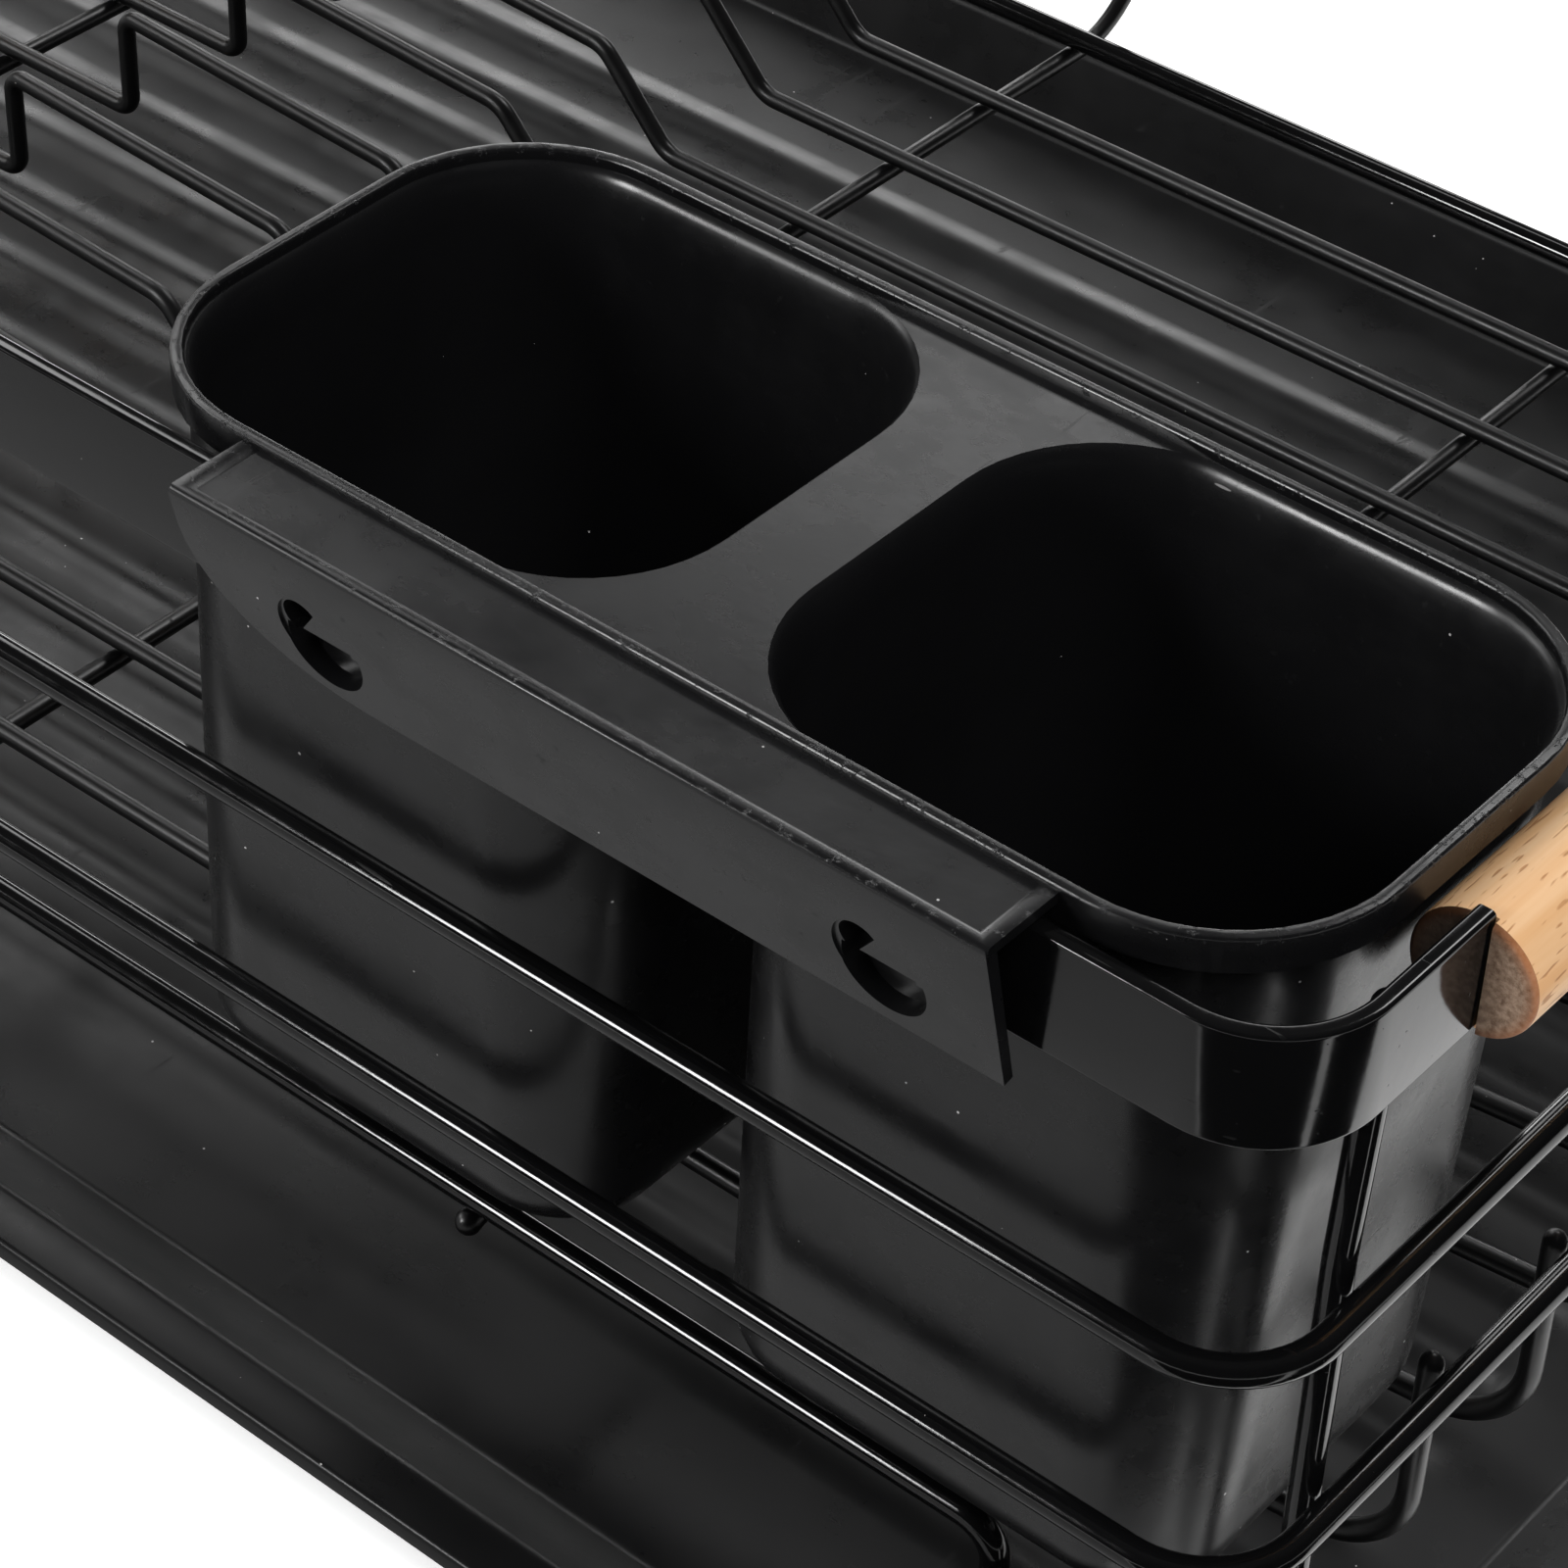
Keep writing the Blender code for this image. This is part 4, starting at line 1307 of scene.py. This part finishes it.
@dataclass
class DripTray:
    """The moulded drip tray: a turned-down lip, sloping walls and a floor with broad low ribs."""

    material: bpy.types.Material
    overhang: float = 9.6 * MM
    height: float = 11.5 * MM
    wall: float = 1.7 * MM
    corner: float = 28 * MM
    corner_steps: int = 18
    lip_width: float = 7.5 * MM
    lip_drop: float = 2.8 * MM
    slope_run: float = 13.5 * MM
    moulded_edge: float = 0.9 * MM
    edge_angle: float = 18
    underside_lift: float = 0.1 * MM
    rib_count: int = 15
    rib_pitch: float = 16.35 * MM
    rib_offset: float = -3.7 * MM
    rib_width: float = 11.5 * MM
    rib_steps: int = 4
    rib_run: float = 10 * MM
    run_steps: int = 4
    rib_height: float = 0.75 * MM
    rib_margin: float = 12 * MM

    @property
    def half_x(self) -> float:
        """Half of the tray's length."""
        return RIGHT + self.overhang

    @property
    def half_y(self) -> float:
        """Half of the tray's depth."""
        return -FRONT + self.overhang

    def build(self) -> None:
        """Build and dress the tray."""
        tray = primitive(bpy.ops.mesh.primitive_plane_add, size=2)
        with editing(tray):
            bpy.ops.transform.resize(value=(self.half_x, self.half_y, 1))
            bpy.ops.mesh.bevel(offset=self.corner, segments=self.corner_steps, affect="VERTICES")
            bpy.ops.transform.translate(value=(0, 0, self.height))
            bpy.ops.mesh.select_mode(type="FACE")
            bpy.ops.mesh.select_all(action="SELECT")
            bpy.ops.mesh.inset(thickness=self.lip_width, depth=0)
            bpy.ops.mesh.inset(thickness=self.slope_run, depth=self.wall - self.height)
            self.press_ribs(tray)
            choose(tray, self.outside, Pick.EDGE)
            extrude(Vector((0, 0, -self.lip_drop)))
        finish_with(tray, "BEVEL", width=self.moulded_edge, segments=3, limit_method="ANGLE",
                    angle_limit=math.radians(self.edge_angle))
        finish_with(tray, "SOLIDIFY", thickness=self.wall - self.underside_lift, offset=-1.0,
                    use_even_offset=True, use_quality_normals=True)
        settle(tray, "ribbed_tray", angle=38)
        deliver(tray, Body.TRAY, self.material, "drip_tray")

    def outside(self, place: Vector) -> bool:
        """Say whether a point is on the tray's outer outline.

        Args:
            place: The point.

        Returns:
            True where it is.
        """
        slack = 0.2 * MM
        over_x = max(abs(place.x) - (self.half_x - self.corner), 0.0)
        over_y = max(abs(place.y) - (self.half_y - self.corner), 0.0)
        return math.hypot(over_x, over_y) > self.corner - slack

    def press_ribs(self, tray: Piece) -> None:
        """Score the floor along each rib and lift the rows into soft waves that die out before the ends.

        Args:
            tray: The tray, open for editing.
        """
        near = 0.02 * MM
        end = self.half_x - self.lip_width - self.slope_run - self.rib_margin
        rows = [(index - (self.rib_count - 1) / 2) * self.rib_pitch + self.rib_offset
                for index in range(self.rib_count)]
        across = [self.rib_width / 2 * step / self.rib_steps for step in range(self.rib_steps + 1)]
        along = [end - self.rib_run * step / self.run_steps for step in range(self.run_steps + 1)]
        cuts = [((0, row + side * away, 0), (0, 1, 0)) for row in rows for away in across
                for side in ((-1, 1) if away else (1,))]
        cuts += [((side * place, 0, 0), (1, 0, 0)) for place in along for side in (-1, 1)]
        for place, normal in cuts:
            choose(tray, lambda face: abs(face.center.z - self.wall) < near and face.normal.z > FACING,
                   Pick.FACE)
            bpy.ops.mesh.bisect(plane_co=place, plane_no=normal)
        for step, place in enumerate(along[1:], 1):
            at_end = step < self.run_steps
            for away in across[:-1]:
                rise = self.rib_height * self.wave(1 - away / across[-1]) * self.wave(step / self.run_steps)
                choose(tray, lambda spot: abs(spot.z - self.wall) < near
                       and (abs(abs(spot.x) - place) < near if at_end else abs(spot.x) < place + near)
                       and any(abs(abs(spot.y - row) - away) < near for row in rows), Pick.VERTEX)
                bpy.ops.transform.translate(value=(0, 0, rise))

    @staticmethod
    def wave(share: float) -> float:
        """Give the height of a soft wave from its foot, 0, to its crest, 1."""
        return (1 - math.cos(math.pi * share)) / 2


@dataclass
class Studio:
    """The floor, the soft light and the camera."""

    camera_place: tuple[float, float, float] = (0.39601, -0.43426, 0.44406)
    azimuth: float = 38.651
    elevation: float = 39.929
    roll: float = 2.133
    lens: float = 106.08
    sensor: float = 36
    pale_side: tuple[float, float, float] = (-0.36, 0.43, 0.83)
    dim_level: float = 0.16
    pale_level: float = 1.0
    floor_size: float = 24.0
    floor_level: float = -0.2 * MM
    floor_glow: float = 0.60
    card_level: float = 0.6 * MM
    aim_height: float = 80 * MM

    def build(self) -> None:
        """Set up the whole studio."""
        self.build_camera()
        self.build_floor()
        self.build_world()
        self.build_lights()
        self.build_cards()
        bpy.context.scene.view_settings.view_transform = "Standard"

    def build_camera(self) -> None:
        """Place the camera at the picture's viewing angle."""
        turn, lift, roll = (math.radians(value) for value in (self.azimuth, self.elevation, self.roll))
        ahead = Vector((-math.sin(turn) * math.cos(lift), math.cos(turn) * math.cos(lift), -math.sin(lift)))
        level = ahead.cross(Vector((0, 0, 1))).normalized()
        upward = level.cross(ahead)
        across = math.cos(roll) * level + math.sin(roll) * upward
        above = -math.sin(roll) * level + math.cos(roll) * upward
        data = bpy.data.cameras.new("camera")
        data.sensor_width = self.sensor
        data.lens = self.lens
        camera = bpy.data.objects.new("camera", data)
        bpy.context.collection.objects.link(camera)
        turned = Matrix((across, above, -ahead)).transposed().to_4x4()
        camera.matrix_world = Matrix.Translation(self.camera_place) @ turned
        bpy.context.scene.camera = camera

    def build_floor(self) -> None:
        """Lay a plain pale floor that looks white to the camera and keeps the object's shadow."""
        floor = primitive(bpy.ops.mesh.primitive_plane_add, size=self.floor_size,
                          location=(0, 0, self.floor_level))
        with editing(floor):
            bpy.ops.mesh.subdivide(number_cuts=4)
        finish = Finish("white_table")
        finish.set(Roughness=0.9, Specular_IOR_Level=0.1, Emission_Strength=self.floor_glow)
        ray = add_node(finish.tree, "ShaderNodeLightPath").outputs
        through = finish.maths("MAXIMUM", ray["Is Glossy Ray"], ray["Is Transmission Ray"])
        seen = finish.maths("MAXIMUM", ray["Is Camera Ray"], through)
        finish.link(Base_Color=finish.blend(finish.noise(900, 2), "f4f4f4", "f8f8f7"),
                    Emission_Color=finish.blend(seen, BLACK, WHITE))
        floor.data.materials.append(finish.material)
        floor.name = "table_top"

    def build_world(self) -> None:
        """Make the dim room round the table, paler towards the back and the left."""
        world = bpy.data.worlds.new("soft_room")
        world.use_nodes = True
        bpy.context.scene.world = world
        tree = world.node_tree
        place = add_node(tree, "ShaderNodeTexCoord").outputs["Generated"]
        side = add_node(tree, "ShaderNodeVectorMath", {0: place, 1: self.pale_side}, operation="DOT_PRODUCT")
        level = add_node(tree, "ShaderNodeMapRange", {
            "Value": side.outputs["Value"], "From Min": 0.1, "From Max": 0.9,
            "To Min": self.dim_level, "To Max": self.pale_level}, interpolation_type="SMOOTHSTEP")
        tree.links.new(level.outputs["Result"], tree.nodes["Background"].inputs["Strength"])

    def build_lights(self) -> None:
        """Hang the soft boxes: the gloss doesn't show the one that lights the wood."""
        self.soft_box("left_box", -60, 26, 1.5, 0.90, 0.45, 5.5)
        self.soft_box("back_box", -141, 14, 1.7, 1.10, 0.30, 6)
        self.soft_box("low_left_box", -112, 42, 1.6, 0.60, 0.50, 3.8)
        self.soft_box("near_box", -159, 50, 0.53, 0.20, 0.10, 0.2)
        self.soft_box("side_box", 172, 50, 1.5, 0.45, 0.40, 4)
        self.soft_box("front_strip", -20, 24, 1.5, 0.30, 0.34, 9)
        self.soft_box("wood_box", 66, 50, 1.3, 0.80, 0.60, 13).visible_glossy = False

    def build_cards(self) -> None:
        """Lay two dark cards and a grey one that shines by itself round the object's front, where only its
        gloss shows them: painted dark and grey reflections.
        """
        self.card("dark_card", "030303", 0.0,
                  [(-14, 0.03), (-14, 0.8), (10, 0.9), (45, 0.9), (82, 0.8), (82, 0.03)])
        self.card("side_card", "030303", 0.0, [(89, 0.03), (89, 0.8), (110, 0.8), (130, 0.7), (130, 0.03)])
        self.card("grey_card", "202020", 0.42,
                  [(-15.5, 0.03), (-15.5, 0.9), (-50, 1.2), (-88, 1.2), (-120, 0.7), (-120, 0.03)])

    def card(self, name: str, colour: str, glow: float, outline: list[Pair]) -> None:
        """Lay one flat card on the table, which only the gloss sees: it paints a reflection of its colour and
        glow.

        Args:
            name: The card's name.
            colour: Its colour in hex.
            glow: How strongly it shines by itself.
            outline: Its corners, as turns in degrees and metres from the rack's front right corner.
        """
        card = primitive(bpy.ops.mesh.primitive_circle_add, vertices=len(outline), fill_type="NGON")
        for vertex, (turn, reach) in zip(card.data.vertices, outline):
            angle = math.radians(turn)
            vertex.co = (RIGHT + math.sin(angle) * reach, FRONT - math.cos(angle) * reach, self.card_level)
        finish = Finish(name)
        finish.set(Base_Color=linear(colour), Roughness=0.95, Specular_IOR_Level=0.0, Emission_Strength=glow)
        finish.link(Emission_Color=finish.blend(finish.noise(60, 2), (0.9, 0.9, 0.9, 1), WHITE))
        card.data.materials.append(finish.material)
        card.name = name
        card.visible_camera = card.visible_diffuse = card.visible_shadow = card.visible_transmission = False

    def soft_box(self, name: str, heading: float, lift: float, reach: float, width: float, height: float,
                 power: float) -> Piece:
        """Hang one soft box that shines at the object.

        Args:
            name: The light's name.
            heading: Where it hangs, in degrees from the front towards the right.
            lift: Its angle above the table in degrees.
            reach: Its distance in metres.
            width: Its width in metres.
            height: Its height in metres.
            power: Its power in watts.

        Returns:
            The light.
        """
        data = bpy.data.lights.new(name, "AREA")
        data.shape = "RECTANGLE"
        data.size, data.size_y = width, height
        data.energy = power
        light = bpy.data.objects.new(name, data)
        bpy.context.collection.objects.link(light)
        turn, rise = math.radians(heading), math.radians(lift)
        away = Vector((math.sin(turn) * math.cos(rise), -math.cos(turn) * math.cos(rise), math.sin(rise)))
        light.location = Vector((0, 0, self.aim_height)) + away * reach
        light.rotation_euler = (-away).to_track_quat("-Z", "Y").to_euler()
        return light


def main() -> None:
    """Build the drainer's pieces in order, then the studio round them."""
    logging.basicConfig(level=logging.INFO, format="%(name)s: %(message)s")
    coat = BlackCoat().make()
    floor_coat = BlackCoat("soft_black_coating_on_steel", smooth=0.30, dull=0.42, peel_depth_mm=0.006).make()
    tray_plastic = MouldedBlack("satin_moulded_tray", "0b0b0b", "131314", smooth=0.25, dull=0.34,
                                grain_mm=1.6, grain_depth_mm=0.008, specular=0.25).make()
    cup_plastic = MouldedBlack("satin_moulded_cups", "0a0a0b", "131314", smooth=0.21, dull=0.33, grain_mm=1.2,
                               grain_depth_mm=0.010, specular=0.50, burr=RIM_TOP + 2.0 * MM).make()
    band = RimBand(coat)
    WireFrame(coat, floor_coat, band).build()
    band.build()
    Handle(Beech().make(), band).build()
    CutleryHolder(cup_plastic).build()
    DripTray(tray_plastic).build()
    Studio().build()
    LOG.info("sizes written")


if __name__ == "__main__":
    main()
